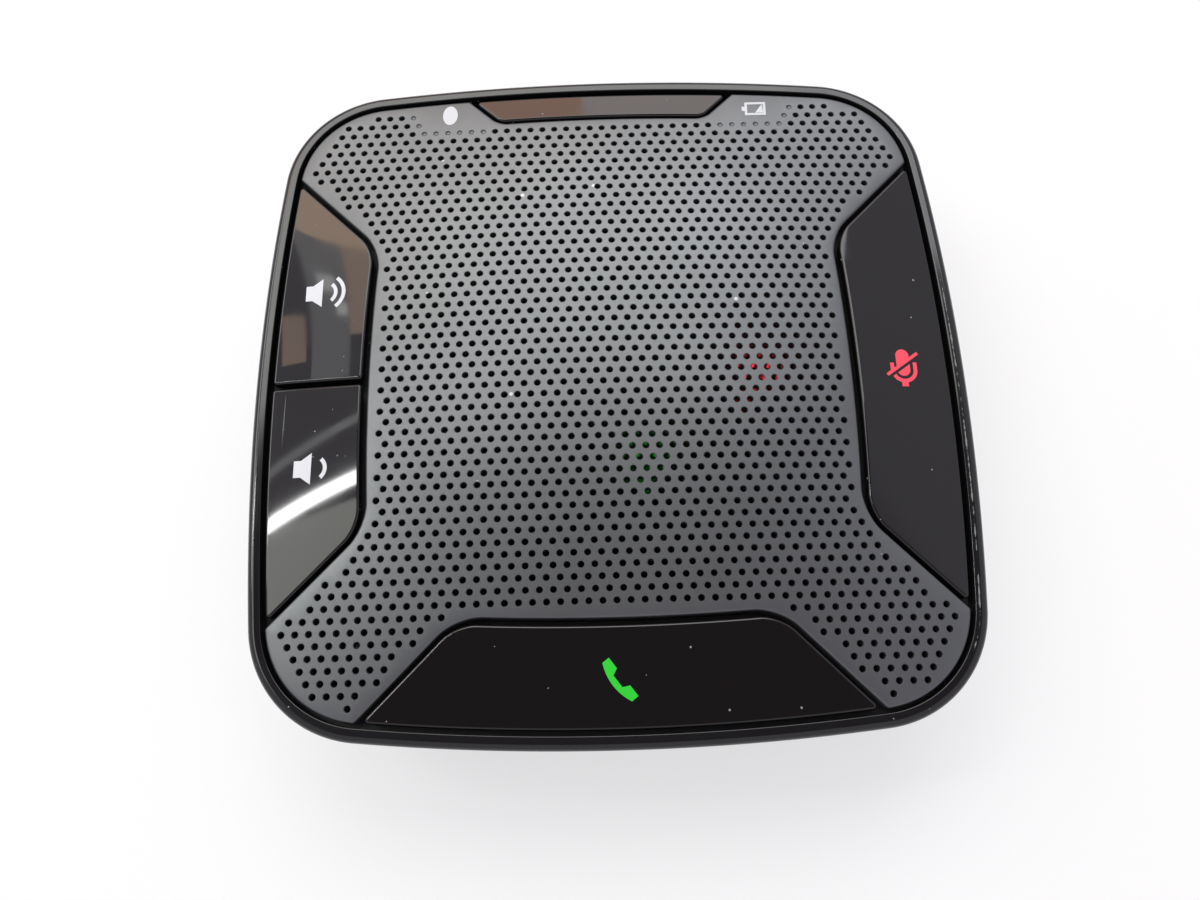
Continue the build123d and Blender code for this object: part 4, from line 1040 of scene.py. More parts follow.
PLAIN_SLOTS: dict[str, Finish] = {
    "housing_black": HOUSING_BLACK,
    "foot_rubber": Moulded("foot_rubber", (0.018, 0.018, 0.018), 0.7, 3000.0, 0.00005, 0.06),
    "bezel_gloss": BEZEL_GLOSS,
    "deck_black": Moulded("deck_black", (0.010, 0.010, 0.011), 0.55, 3000.0, 0.00003, 0.02),
    "grille_grey": GRILLE_GREY,
    "plate_gloss": PLATE_GLOSS,
    "key_gloss": KEY_GLOSS,
    "mute_red": MUTE_RED,
    "call_green": CALL_GREEN,
    "white_window": SIGN_WHITE,
    "smoked_window": Moulded("smoked_window", (0.03, 0.03, 0.033), 0.3),
    "clear_guide": Clear("clear_guide", (0.85, 0.9, 0.92), 0.08),
    "basket_steel": Moulded("basket_steel", (0.015, 0.015, 0.016), 0.4, 2600.0, 0.00002),
    "plated_steel": Metal("plated_steel", (0.52, 0.53, 0.55), 0.32),
    "ferrite": Moulded("ferrite", (0.03, 0.03, 0.031), 0.55, 1500.0, 0.00008),
    "coil_copper": Metal("coil_copper", (0.72, 0.33, 0.16), 0.3, 4000.0),
    "spider_cloth": Cloth("spider_cloth", (0.45, 0.30, 0.11), 0.85),
    "cone_paper": Cloth("cone_paper", (0.10, 0.10, 0.098), 0.8, 2600.0),
    "surround_rubber": Moulded("surround_rubber", (0.014, 0.014, 0.014), 0.45, 2400.0),
    "board_green": Moulded("board_green", (0.010, 0.085, 0.035), 0.3, 1800.0, 0.00002, 0.01),
    "switch_black": Moulded("switch_black", (0.014, 0.014, 0.015), 0.42, 2600.0),
    "actuator_white": Moulded("actuator_white", (0.6, 0.6, 0.56), 0.4, 2600.0),
    "chip_black": Moulded("chip_black", (0.012, 0.012, 0.012), 0.5, 2600.0),
    "shield_steel": Metal("shield_steel", (0.58, 0.58, 0.58), 0.25),
    "socket_black": Moulded("socket_black", (0.012, 0.012, 0.012), 0.4, 2600.0),
    "connector_white": Moulded("connector_white", (0.62, 0.58, 0.45), 0.45, 2600.0),
    "knob_black": Moulded("knob_black", (0.018, 0.018, 0.019), 0.4, 3000.0, 0.00004),
    "battery_foil": Metal("battery_foil", (0.55, 0.57, 0.6), 0.3, 300.0),
    "foam_black": Moulded("foam_black", (0.02, 0.02, 0.02), 0.9, 1200.0, 0.0001),
    "lead_red": Moulded("lead_red", (0.42, 0.014, 0.012), 0.4, 2600.0),
    "mic_steel": Metal("mic_steel", (0.68, 0.68, 0.68), 0.28),
    "boot_rubber": Moulded("boot_rubber", (0.016, 0.016, 0.016), 0.6, 2200.0),
    "screw_steel": Metal("screw_steel", (0.42, 0.42, 0.43), 0.3),
}


# ---- Pieces ----------------------------------------------------------------------------------


@dataclass
class Grille:
    """The perforated grille: an X-shaped crowned plate with round holes and blind dimples."""

    outline: Outline
    crown: Crown
    keys: Recess
    plate: Recess
    inset: float = 2.6
    tip: float = 0.8
    edge: float = 0.4
    thickness: float = 1.5
    deck: float = 24.0
    pitch: float = 2.0
    bore: float = 0.5
    rim: float = 0.06
    steps: int = 14
    border: float = 1.4
    margin: float = 1.5
    rows: int = 28
    sign_field: tuple[float, float, float] = (19.0, 30.5, 45.0)
    dimple: float = 0.46
    dish: float = 0.26
    dish_rings: tuple[float, ...] = (1.02, 0.9, 0.7, 0.4)
    draft: float = 0.3
    bend: float = 0.45
    reach_in: float = 5.0

    def depth(self, x: Array, y: Array) -> Array:
        """Depth inside the grille's plan: inside the outline and outside all four recesses.

        Args:
            x: Plan X of each point.
            y: Plan Y of each point.

        Returns:
            The depths.
        """
        inside = self.outline.depth(x, y) - self.inset
        for side in (Side.RIGHT, Side.LEFT, Side.FRONT):
            key = -self.keys.depth(self.outline, side, x, y)
            inside = within_both(inside, key, self.tip, RECESS_ANGLE)
        plate = -self.plate.depth(self.outline, Side.BACK, x, y)
        return within_both(inside, plate, self.tip, RECESS_ANGLE)

    def spots(self) -> tuple[Array, Array]:
        """Centres of the holes and of the dimples.

        Rows along X are pitch * sqrt(3) / 2 apart, and every other row is shifted by half a
        pitch. A spot is kept where it is border in from the outline and margin from a recess.
        Beside the two signs at the back the spots are dropped, with a line of dimples round them.

        Returns:
            The holes' centres and the dimples' centres.
        """
        row = np.arange(-self.rows, self.rows + 1)[:, None]
        x = (np.arange(-self.rows, self.rows + 1) + row % 2 / 2) * self.pitch
        y = row * self.pitch * sqrt(3) / 2 + 0 * x
        clear = self.outline.depth(x, y) - self.inset >= self.border
        for side in (Side.RIGHT, Side.LEFT, Side.FRONT):
            clear &= -self.keys.depth(self.outline, side, x, y) >= self.margin
        clear &= -self.plate.depth(self.outline, Side.BACK, x, y) >= self.margin
        near, far, level = self.sign_field
        lean = np.abs(x) - (y - level) / sqrt(3)
        beside = (np.abs(x) > near) & (lean < far) & (y > level - self.bore)
        dimpled = beside & ((y < level + self.bore) | (lean > far - self.pitch / 2))
        both = np.stack([x, y], axis=-1)
        return both[clear & ~beside], both[clear & dimpled]

    def top(self, dimples: Array) -> Field:
        """Lower the crown by a round dish depth * sqrt(1 - (r/radius)^2) at each dimple.

        Args:
            dimples: The dimples' centres.

        Returns:
            The field of the top's height.
        """

        def height(x: Array, y: Array) -> Array:
            """Height of the top at each point, from its distance to the nearest dimple.

            Args:
                x: Plan X of each point.
                y: Plan Y of each point.

            Returns:
                The heights.
            """
            away = np.hypot(x[:, None] - dimples[:, 0], y[:, None] - dimples[:, 1]).min(axis=1)
            dip = np.sqrt(np.clip(1 - (away / self.dimple) ** 2, 0, None))
            return self.crown.height(x, y) - self.dish * dip

        return height

    def build(self) -> None:
        """Make the grille, holes and dimples and all."""
        holes, dimples = self.spots()
        half = self.outline.half - self.reach_in
        rim = edge_loop(lambda x, y: self.depth(x, y) - self.edge, (0, 0), (half, half), self.bend)
        dishes = [ring(dimples, self.dimple * share, self.steps) for share in self.dish_rings]
        net = fill([rim], list(ring(holes, self.bore + self.rim, self.steps)),
                   extra=np.concatenate([dimples, *[d.reshape(-1, 2) for d in dishes]]))
        skin = Skin()
        skin.moulding(
            net,
            self.top(dimples),
            self.thickness,
            EdgeForm.rounded(self.edge, 4, wall_to=self.deck, wall_in=self.edge + self.draft),
            EdgeForm((0.0, self.rim), (0.0, self.rim)),
        )
        skin.build("perforated_grille", "case", "grille_grey", GRILLE_GREY, ["speaker_grille"])
        LOG.info("grille: %d holes and %d dimples", len(holes), len(dimples))


def upright_rings(section: Sequence[Spot], spot: Array, steps: int) -> Array:
    """Stand circles on a vertical axis.

    Args:
        section: Radius and height of each circle.
        spot: The axis in plan, as an array of one point.
        steps: Points round each circle.

    Returns:
        An array of circles, points and X, Y and Z.
    """
    return np.stack(
        [np.column_stack([ring(spot, r, steps)[0], np.full(steps, z)]) for r, z in section]
    )


@dataclass
class Key:
    """One gloss key: a crowned cap with a rounded top edge, on legs with a plunger."""

    name: str
    node: str
    side: Side
    outline: Outline
    crown: Crown
    recess: Recess
    body: str
    low: float = -60.0
    high: float = 60.0
    inner_gap: float = 0.95
    side_gap: float = 0.62
    inset: float = 2.7
    edge: float = 0.42
    tip: float = 0.14
    thickness: float = 1.6
    grid: float = 1.6
    edge_steps: int = 6
    bend: float = 0.4
    middle: float = 46.0
    half_width: float = 7.0
    half_length: float = 39.0
    legs: tuple[float, ...] = ()
    leg_length: float = 3.0
    leg_foot: float = 21.6
    # The leg and its hook: place out from the middle, width and top.
    leg_parts: tuple[Size, ...] = ((43.0, 1.2, 26.4), (43.4, 2.0, 22.1))
    # The plunger's circles: radius and height.
    plunger_section: tuple[Spot, ...] = ((1.4, 21.5), (1.6, 21.7), (1.6, 26.3))
    plunger: float = 0.0
    plunger_out: float = 45.0
    plunger_steps: int = 24

    def depth(self, x: Array, y: Array) -> Array:
        """Depth inside the flat of the key's top.

        The flat is the recess less the gaps, the outline and the key's two ends, each drawn in
        by the rounded edge first, so that the edge's outer corners are exact offsets.

        Args:
            x: Plan X of each point.
            y: Plan Y of each point.

        Returns:
            The depths.
        """
        inner, slope = self.recess.edges(self.outline, self.side, x, y)
        inner, slope = inner - self.inner_gap - self.edge, slope - self.side_gap - self.edge
        corner = self.recess.corner - self.inner_gap - self.edge
        inside = within_both(inner, slope, corner, RECESS_ANGLE)
        outer = self.outline.depth(x, y) - self.inset - self.edge
        inside = within_both(inside, outer, self.tip, TIP_ANGLE)
        along = self.side.local(x, y)[1]
        inside = within_both(inside, along - self.low - self.edge, self.tip)
        return within_both(inside, self.high - along - self.edge, self.tip)

    def place(self, out: float, along: float) -> Spot:
        """A spot given by its distance out and along, in plan."""
        turn = radians(self.side.value)
        return out * cos(turn) - along * sin(turn), out * sin(turn) + along * cos(turn)

    def build(self, finish: Finish = KEY_GLOSS, slot: str = "key_gloss") -> None:
        """Make the key's cap, legs and plunger.

        Args:
            finish: Its finish.
            slot: Its material slot.
        """
        low, high = max(self.low, -self.half_length), min(self.high, self.half_length)
        across, along = self.half_width, (high - low) / 2
        reach = (across, along) if self.upright() else (along, across)
        skin = self.cap(self.place(self.middle, (low + high) / 2), reach)
        for along in self.legs:
            self.add_leg(skin, along)
        if self.legs:
            skin.sweep(self.plunger_rings(), cap_first=True, cap_last=True)
        skin.build(self.name, self.body, slot, finish, [self.node], self.crown)

    def upright(self) -> bool:
        """Whether the key is on the left or the right."""
        return self.side in (Side.RIGHT, Side.LEFT)

    def cap(self, centre: Spot, reach: Spot) -> Skin:
        """Mould the crowned cap.

        Args:
            centre: A spot inside it.
            reach: Its half sizes about the spot, for the spacing of the rays.

        Returns:
            A skin with the cap.
        """
        rim = edge_loop(self.depth, centre, reach, self.bend)
        skin = Skin()
        skin.moulding(
            fill([rim], extra=self.lattice(rim)),
            self.crown.height,
            self.thickness,
            EdgeForm.rounded(self.edge, self.edge_steps),
        )
        return skin

    def lattice(self, rim: Array) -> Array:
        """Lay a square lattice of points over the inside, clear of the edge.

        Args:
            rim: The edge, as a loop.

        Returns:
            The points.
        """
        spans = [np.arange(rim[:, k].min(), rim[:, k].max(), self.grid) for k in (0, 1)]
        x, y = (part.ravel() for part in np.meshgrid(*spans))
        inside = self.depth(x, y) > self.grid / 2
        return np.stack([x[inside], y[inside]], axis=1)

    def add_leg(self, skin: Skin, along: float) -> None:
        """Add a leg under the cap that ends in a hook below the deck.

        Args:
            skin: The key's skin.
            along: Where the leg is along the side.
        """
        bottom = self.leg_foot
        for out, width, top in self.leg_parts:
            size = (width, self.leg_length) if self.upright() else (self.leg_length, width)
            skin.box((*size, top - bottom), (*self.place(out, along), (top + bottom) / 2))

    def plunger_rings(self) -> Array:
        """Circles of the plunger, a round rod with its end broken, from the switch to the cap."""
        spot = np.array([self.place(self.plunger_out, self.plunger)])
        return upright_rings(self.plunger_section, spot, self.plunger_steps)


@dataclass
class NamePlate(Key):
    """The bare name plate at the back, moulded like a key but fixed and without legs."""

    inner_gap: float = 0.5
    side_gap: float = 0.5
    thickness: float = 2.4
    bend: float = 0.35
    middle: float = 49.9
    half_width: float = 2.4
    half_length: float = 23.5

    def build(self, finish: Finish = PLATE_GLOSS, slot: str = "plate_gloss") -> None:
        """Make the plate."""
        skin = self.cap((0.0, self.middle), (self.half_length, self.half_width))
        skin.build(self.name, self.body, slot, finish, [self.node], self.crown)


def peak(value: Array, at: float, reach: float) -> Array:
    """1 where the value is at its peak, falling evenly to 0 at the reach on either side."""
    return 1 - np.clip(np.abs(value - at) / reach, 0, 1)


@dataclass
class Bezel:
    """The gloss ring round the top: a rounded outer edge and a level inner land."""

    outline: Outline
    bottom: float = 22.5
    top: float = 27.0
    round: float = 1.1
    land_drop: float = 0.04
    width: float = 2.0
    rebate: float = 1.2
    deck: float = 24.0
    lip: float = 0.12
    foot_break: float = 0.2
    # Rubbing: its share on the rim, then its inset and reach on the rim and on the land, and
    # where it starts in x and ends in y on the land, with how far each takes to come up.
    rim_share: float = 0.6
    rim_rub: Spot = (0.35, 0.5)
    land_rub: Spot = (1.45, 0.45)
    rubbed_side: tuple[Spot, Spot] = ((38.0, 14.0), (40.0, 30.0))

    def profile(self) -> Array:
        """Inset and height round the section, with a quarter ellipse for the outer edge.

        The outer edge follows (round (1 - cos t), top - round (1 - sin t)), and the land's inner
        lip is a smaller one the other way.

        Returns:
            The section's corners, anticlockwise from the foot of the outer side.
        """
        turn = np.linspace(0, pi / 2, 9)
        lip = np.linspace(0, pi / 2, 4)
        small = self.lip
        outer = np.column_stack(
            [self.round * (1 - np.cos(turn)), self.top - self.round * (1 - np.sin(turn))]
        )
        inner = np.column_stack(
            [
                self.width - small + small * np.sin(lip),
                self.top - self.land_drop - small * (1 - np.cos(lip)),
            ]
        )
        land = np.linspace(outer[-1], inner[0], 6)[1:-1]
        cut = self.foot_break
        start = np.array([[cut, self.bottom], [0.0, self.bottom + cut]])
        end = np.array(
            [[self.width, self.deck], [self.rebate, self.deck], [self.rebate, self.bottom]]
        )
        return np.vstack([start, outer, land, inner, end])

    def build(self) -> None:
        """Sweep the section round the outline."""
        section = self.profile()
        loops = self.outline.loop(section[:, 0], 60, 40)
        levels = np.broadcast_to(section[:, 1, None, None], (*loops.shape[:2], 1))
        skin = Skin()
        skin.sweep(np.concatenate([loops, levels], axis=2), closed=True)
        piece = skin.build("bezel_ring", "case", "bezel_gloss", BEZEL_GLOSS, ["bezel"])
        self.mark_edge(piece, np.concatenate(skin.points))

    def mark_edge(self, piece: bpy.types.Object, points: Array) -> None:
        """Store how exposed each point is to rubbing.

        The outer edge is rubbed all round, and the land most at the right front.

        Args:
            piece: The bezel.
            points: Its points, in millimetres.
        """
        x, y, z = points.T
        inset = self.outline.depth(x, y)
        high = np.clip((z - self.top + self.round) / self.round, 0, 1)
        rim = self.rim_share * high * peak(inset, *self.rim_rub)
        (right, right_reach), (front, front_reach) = self.rubbed_side
        side = np.clip((x - right) / right_reach, 0, 1) * np.clip((front - y) / front_reach, 0, 1)
        land = side * high * peak(inset, *self.land_rub)
        edge = piece.data.attributes.new("edge", "FLOAT", "POINT")
        edge.data.foreach_set("value", np.maximum(rim, land).astype(np.float32))


@dataclass
class Housing:
    """The bowl-shaped lower housing, with its ports, screw wells and foot groove."""

    outline: Outline
    base: float = 1.0
    parting: float = 22.5
    rim_inset: float = 0.4
    base_inset: float = 11.0
    wall: float = 2.0
    floor: float = 3.0
    groove: tuple[float, float, float] = (13.2, 16.2, 2.0)
    middle: float = 17.0
    foot_break: float = 0.25
    toe: float = 0.35
    plug_recess: tuple[Size, Size] = ((10.6, 10.0, 5.6), (20.0, 55.0, 16.05))
    switch_slot: tuple[Size, Size] = ((6.7, 10.0, 2.7), (-20.0, 55.0, 15.65))
    thumb_recess: tuple[Size, Size] = ((9.0, 4.0, 4.4), (-20.0, 54.2, 15.65))
    well: float = 33.0
    well_radius: float = 2.15
    well_top: float = 12.0
    well_steps: int = 32

    def inset(self, level: Array) -> Array:
        """Inset of the side wall: a parabola, rim + (base - rim) (1 - rise)^2.

        Args:
            level: Heights on the wall.

        Returns:
            The inset at each.
        """
        rise = (level - self.base) / (self.parting - self.base)
        return self.rim_inset + (self.base_inset - self.rim_inset) * (1 - rise) ** 2

    def build(self) -> None:
        """Sweep the shell and cut its openings."""
        outside = np.linspace(self.base + self.foot_break, self.parting, 22)
        inside = np.linspace(self.parting, self.floor, 14)
        wide, narrow, deep = self.groove
        rows = [(self.middle, self.base), (narrow, self.base), (narrow, deep), (wide, deep),
                (wide, self.base), (self.base_inset + self.toe, self.base)]
        rows += list(zip(self.inset(outside), outside))
        rows += list(zip(self.inset(inside) + self.wall, inside))
        rows += [(self.middle, self.floor)]
        section = np.array(rows)
        loops = self.outline.loop(section[:, 0], 44, 30)
        levels = np.broadcast_to(section[:, 1, None, None], (*loops.shape[:2], 1))
        skin = Skin()
        skin.sweep(np.concatenate([loops, levels], axis=2), cap_first=True, cap_last=True)
        piece = skin.build("housing_bowl", "case", "housing_black", HOUSING_BLACK,
                           ["lower_housing"])
        self.cut(piece)

    def cutters(self) -> Skin:
        """Make the solids that cut the plug recess, the switch's slot and recess and the wells.

        Returns:
            A skin with all of them.
        """
        skin = Skin()
        for size, centre in (self.plug_recess, self.switch_slot, self.thumb_recess):
            skin.box(size, centre)
        section = [(self.well_radius, 0.0), (self.well_radius, self.well_top)]
        for x in (-self.well, self.well):
            for y in (-self.well, self.well):
                rings = upright_rings(section, np.array([(x, y)]), self.well_steps)
                skin.sweep(rings, cap_first=True, cap_last=True)
        return skin

    def cut(self, piece: bpy.types.Object) -> None:
        """Take the cutters out of the shell with a boolean, and apply it.

        Args:
            piece: The shell.
        """
        skin = self.cutters()
        mesh = bpy.data.meshes.new("cutters")
        mesh.from_pydata((np.concatenate(skin.points) * MM).tolist(), [], skin.faces)
        tool = linked("cutters", mesh)
        change = piece.modifiers.new("openings", "BOOLEAN")
        change.operation, change.solver, change.object = "DIFFERENCE", "EXACT", tool
        bpy.context.view_layer.update()
        shown = piece.evaluated_get(bpy.context.evaluated_depsgraph_get())
        cut = bpy.data.meshes.new_from_object(shown)
        piece.modifiers.clear()
        cut.name = piece.data.name
        piece.data = cut
        cut.set_sharp_from_angle(angle=SHARP_ANGLE)
        bpy.data.objects.remove(tool)


# ---- Signs -----------------------------------------------------------------------------------


def bar(start: Spot, end: Spot, width: float) -> Array:
    """Draw a straight bar between two spots.

    Args:
        start: The middle of its first end.
        end: The middle of its last.
        width: Its width.

    Returns:
        A loop of four corners.
    """
    ends = np.array([start, end])
    along = (ends[1] - ends[0]) / np.linalg.norm(ends[1] - ends[0])
    side = np.array([-along[1], along[0]]) * width / 2
    return np.array([ends[0] - side, ends[1] - side, ends[1] + side, ends[0] + side])


def band(centre: Spot, radius: float, width: float, start: float, end: float) -> Array:
    """Draw part of a ring.

    Args:
        centre: Its centre.
        radius: Its mean radius.
        width: Its width.
        start: Its first angle, in degrees.
        end: Its last.

    Returns:
        A loop.
    """
    turn = np.radians(np.linspace(start, end, ARC_STEPS))
    circle = np.stack([np.cos(turn), np.sin(turn)], axis=1)
    outer, inner = circle * (radius + width / 2), circle[::-1] * (radius - width / 2)
    return np.vstack([outer, inner]) + centre


def capsule(centre: Spot, length: float, width: float) -> Array:
    """Draw an upright bar with round ends.

    Args:
        centre: Its centre.
        length: Its length over all.
        width: Its width.

    Returns:
        A loop.
    """
    turn = np.radians(np.linspace(0, 180, END_STEPS))
    top = np.stack([np.cos(turn), np.sin(turn)], axis=1) * width / 2
    rise = np.array([0, (length - width) / 2])
    return np.vstack([top + rise, -top - rise]) + centre


@dataclass
class Signs:
    """The lit and printed signs, each a thin inlay that stands a hair above the crown."""

    crown: Crown
    proud: float = 0.03
    depth: float = 0.35

    def inlay(self, net: Net, name: str, body: str, slot: str, finish: Finish,
              stands_for: Sequence[str] = ()) -> None:
        """Make one sign.

        Args:
            net: Its plan.
            name: Its name.
            body: The body it rides on.
            slot: Its material slot.
            finish: Its finish.
            stands_for: The nodes it stands for.
        """

        def top(x: Array, y: Array) -> Array:
            """Height of the sign's top."""
            return self.crown.height(x, y) + self.proud

        skin = Skin()
        skin.moulding(net, top, self.depth, EdgeForm())
        skin.build(name, body, slot, finish, stands_for, self.crown)

    def mute(self) -> None:
        """A microphone in its cradle, struck through, with a gap along one side of the stroke."""
        cx, cy = 45.3, -0.49
        solid = [
            capsule((45.25, 0.7), 4.4, 2.1),
            band((cx, cy), 1.8, 0.6, 180, 360),
            bar((cx - 1.8, cy), (cx - 1.8, 0.67), 0.6),
            bar((cx + 1.8, cy), (cx + 1.8, 0.75), 0.6),
            bar((45.23, -2.3), (45.23, -3.22), 1.04),
        ]
        start, end = np.array([42.58, -1.31]), np.array([47.72, 2.31])
        away = np.array([0.576, -0.818]) * 0.47
        cut = [bar(tuple(start + away - (end - start)), tuple(end + away + (end - start)), 0.45)]
        net = fill(solid, cut, [bar(tuple(start), tuple(end), 0.5)])
        self.inlay(net, "mute_sign", "mute_button", "mute_red", MUTE_RED, ["mute_symbol"])

    def call(self) -> None:
        """A telephone handset on the slant.

        Its back is the parabola sag * (s / half)^2 - sag, from end to end, and its front steps up
        to an earpiece and a mouthpiece.
        """
        half, sag, front, grip, pad, waist = 3.3, 0.75, 1.6, 0.6, 1.48, 1.0
        along = np.linspace(-half, half, 17)
        back = np.stack([along, -0.3 + sag * (along / half) ** 2], axis=1)
        face = np.array([(half, front), (pad, front), (waist, grip), (-waist, grip), (-pad, front),
                         (-half, front)])
        turn = radians(-53.0)
        spin = np.array([[cos(turn), sin(turn)], [-sin(turn), cos(turn)]])
        loop = np.vstack([back, face]) @ spin + np.array([-0.71, -46.18])
        self.inlay(fill([loop]), "call_sign", "call_button", "call_green", CALL_GREEN,
                   ["call_symbol"])

    def loudspeaker(self, name: str, body: str, at: Spot, waves: int) -> None:
        """A loudspeaker with sound waves: a box, a flared horn and arcs about the horn's mouth.

        Args:
            name: The sign's name.
            body: The body it rides on.
            at: Its place in plan.
            waves: How many arcs it has.
        """
        x, y = at
        horn = np.array([(x - 0.15, y - 1.3), (x + 1.45, y - 2.45), (x + 1.45, y + 2.45),
                         (x - 0.15, y + 1.3)])
        solid = [bar((x - 1.25, y), (x + 0.05, y), 2.6), horn]
        solid += [band((x + 1.75, y), 1.85 + 1.3 * k, 0.6, -50 - 2 * k, 50 + 2 * k)
                  for k in range(waves)]
        self.inlay(fill(solid), name, body, "white_window", SIGN_WHITE)

    def battery(self) -> None:
        """A battery outline with its pole and a wedge for its charge."""
        frame_loop = np.array([(24.4, 46.9), (27.95, 46.9), (28.05, 49.65), (24.5, 49.65)])
        middle = frame_loop.mean(axis=0)
        hollow = middle + (frame_loop - middle) * np.array([0.76, 0.68])
        wedge = np.array([(26.15, 47.4), (27.55, 47.4), (27.4, 49.2)])
        net = fill([frame_loop, bar((23.95, 48.28), (24.45, 48.28), 0.9)], [hollow], [wedge])
        self.inlay(net, "battery_sign", "case", "smoked_window", SIGN_WHITE, ["battery_window"])

    def radio(self) -> None:
        """A plain pale oval where the wireless link's lamp shows."""
        circle = ring(np.zeros((1, 2)), 1.0, 48)[0]
        oval = circle * np.array([1.25, 2.0]) + np.array([-25.7, 48.7])
        self.inlay(fill([oval]), "radio_sign", "case", "white_window", SIGN_WHITE,
                   ["status_window"])

    def build(self) -> None:
        """Make all the signs."""
        self.mute()
        self.call()
        self.loudspeaker("volume_up_sign", "volume_up_button", (-46.75, 15.6), 2)
        self.loudspeaker("volume_down_sign", "volume_down_button", (-46.65, -13.6), 1)
        self.battery()
        self.radio()


# ---- Studio ----------------------------------------------------------------------------------


def standing(axes: Sequence[Vector], place: Vector) -> Matrix:
    """The matrix that stands an object at a place, in millimetres, along three axes."""
    return Matrix.Translation(place * MM) @ Matrix(axes).transposed().to_4x4()


def sheet_lamp(name: str, size: Spot, radiance: float, colour: Colour) -> bpy.types.Object:
    """Make a rectangular lamp whose power is its radiance times pi times its area.

    Args:
        name: Its name.
        size: Its two sides, in metres.
        radiance: How bright it looks, where 1 is white.
        colour: Its colour.

    Returns:
        The lamp.
    """
    data = bpy.data.lights.new(name, "AREA")
    data.shape, data.size, data.size_y = "RECTANGLE", *size
    data.energy, data.color = radiance * pi * size[0] * size[1], colour
    return linked(name, data, seen=False)


@dataclass(frozen=True)
class Panel:
    """A ceiling panel: its ends in x and in y, its radiance and how far under it hangs."""

    name: str
    across: Spot
    along: Spot
    radiance: float
    colour: Colour = (1.0, 1.0, 1.0)
    drop: float = 0.0


PANELS = (
    Panel("ceiling", (-470, 250), (330, 1130), 4.2, (0.99, 1.0, 0.95)),
    Panel("ceiling_right", (250, 520), (520, 1130), 3.6, (0.95, 0.96, 1.0)),
    Panel("ceiling_left", (-1250, -760), (150, 950), 4.4, (0.98, 1.0, 0.94)),
    Panel("brown_back", (-520, -20), (1130, 1420), 2.7, (1.0, 0.53, 0.31)),
    Panel("pale_back", (-20, 520), (1130, 1420), 2.7, (1.0, 0.86, 0.82)),
    Panel("brown_left", (-720, -470), (690, 950), 4.2, (1.0, 0.70, 0.48)),
    Panel("brown_strip", (-545, -470), (520, 690), 2.6, (1.0, 0.70, 0.50)),
    Panel("brown_low", (-720, -655), (480, 560), 2.2, (1.0, 0.70, 0.50)),
    Panel("grey_left", (-640, -545), (440, 690), 1.1),
    Panel("blotch_left", (-610, -570), (600, 628), 3.4, drop=5.0),
    Panel("blotch_right", (-572, -548), (556, 580), 4.0, drop=5.0),
    Panel("pale_left", (-720, -440), (-60, 212), 3.1, (0.97, 1.0, 0.91)),
)


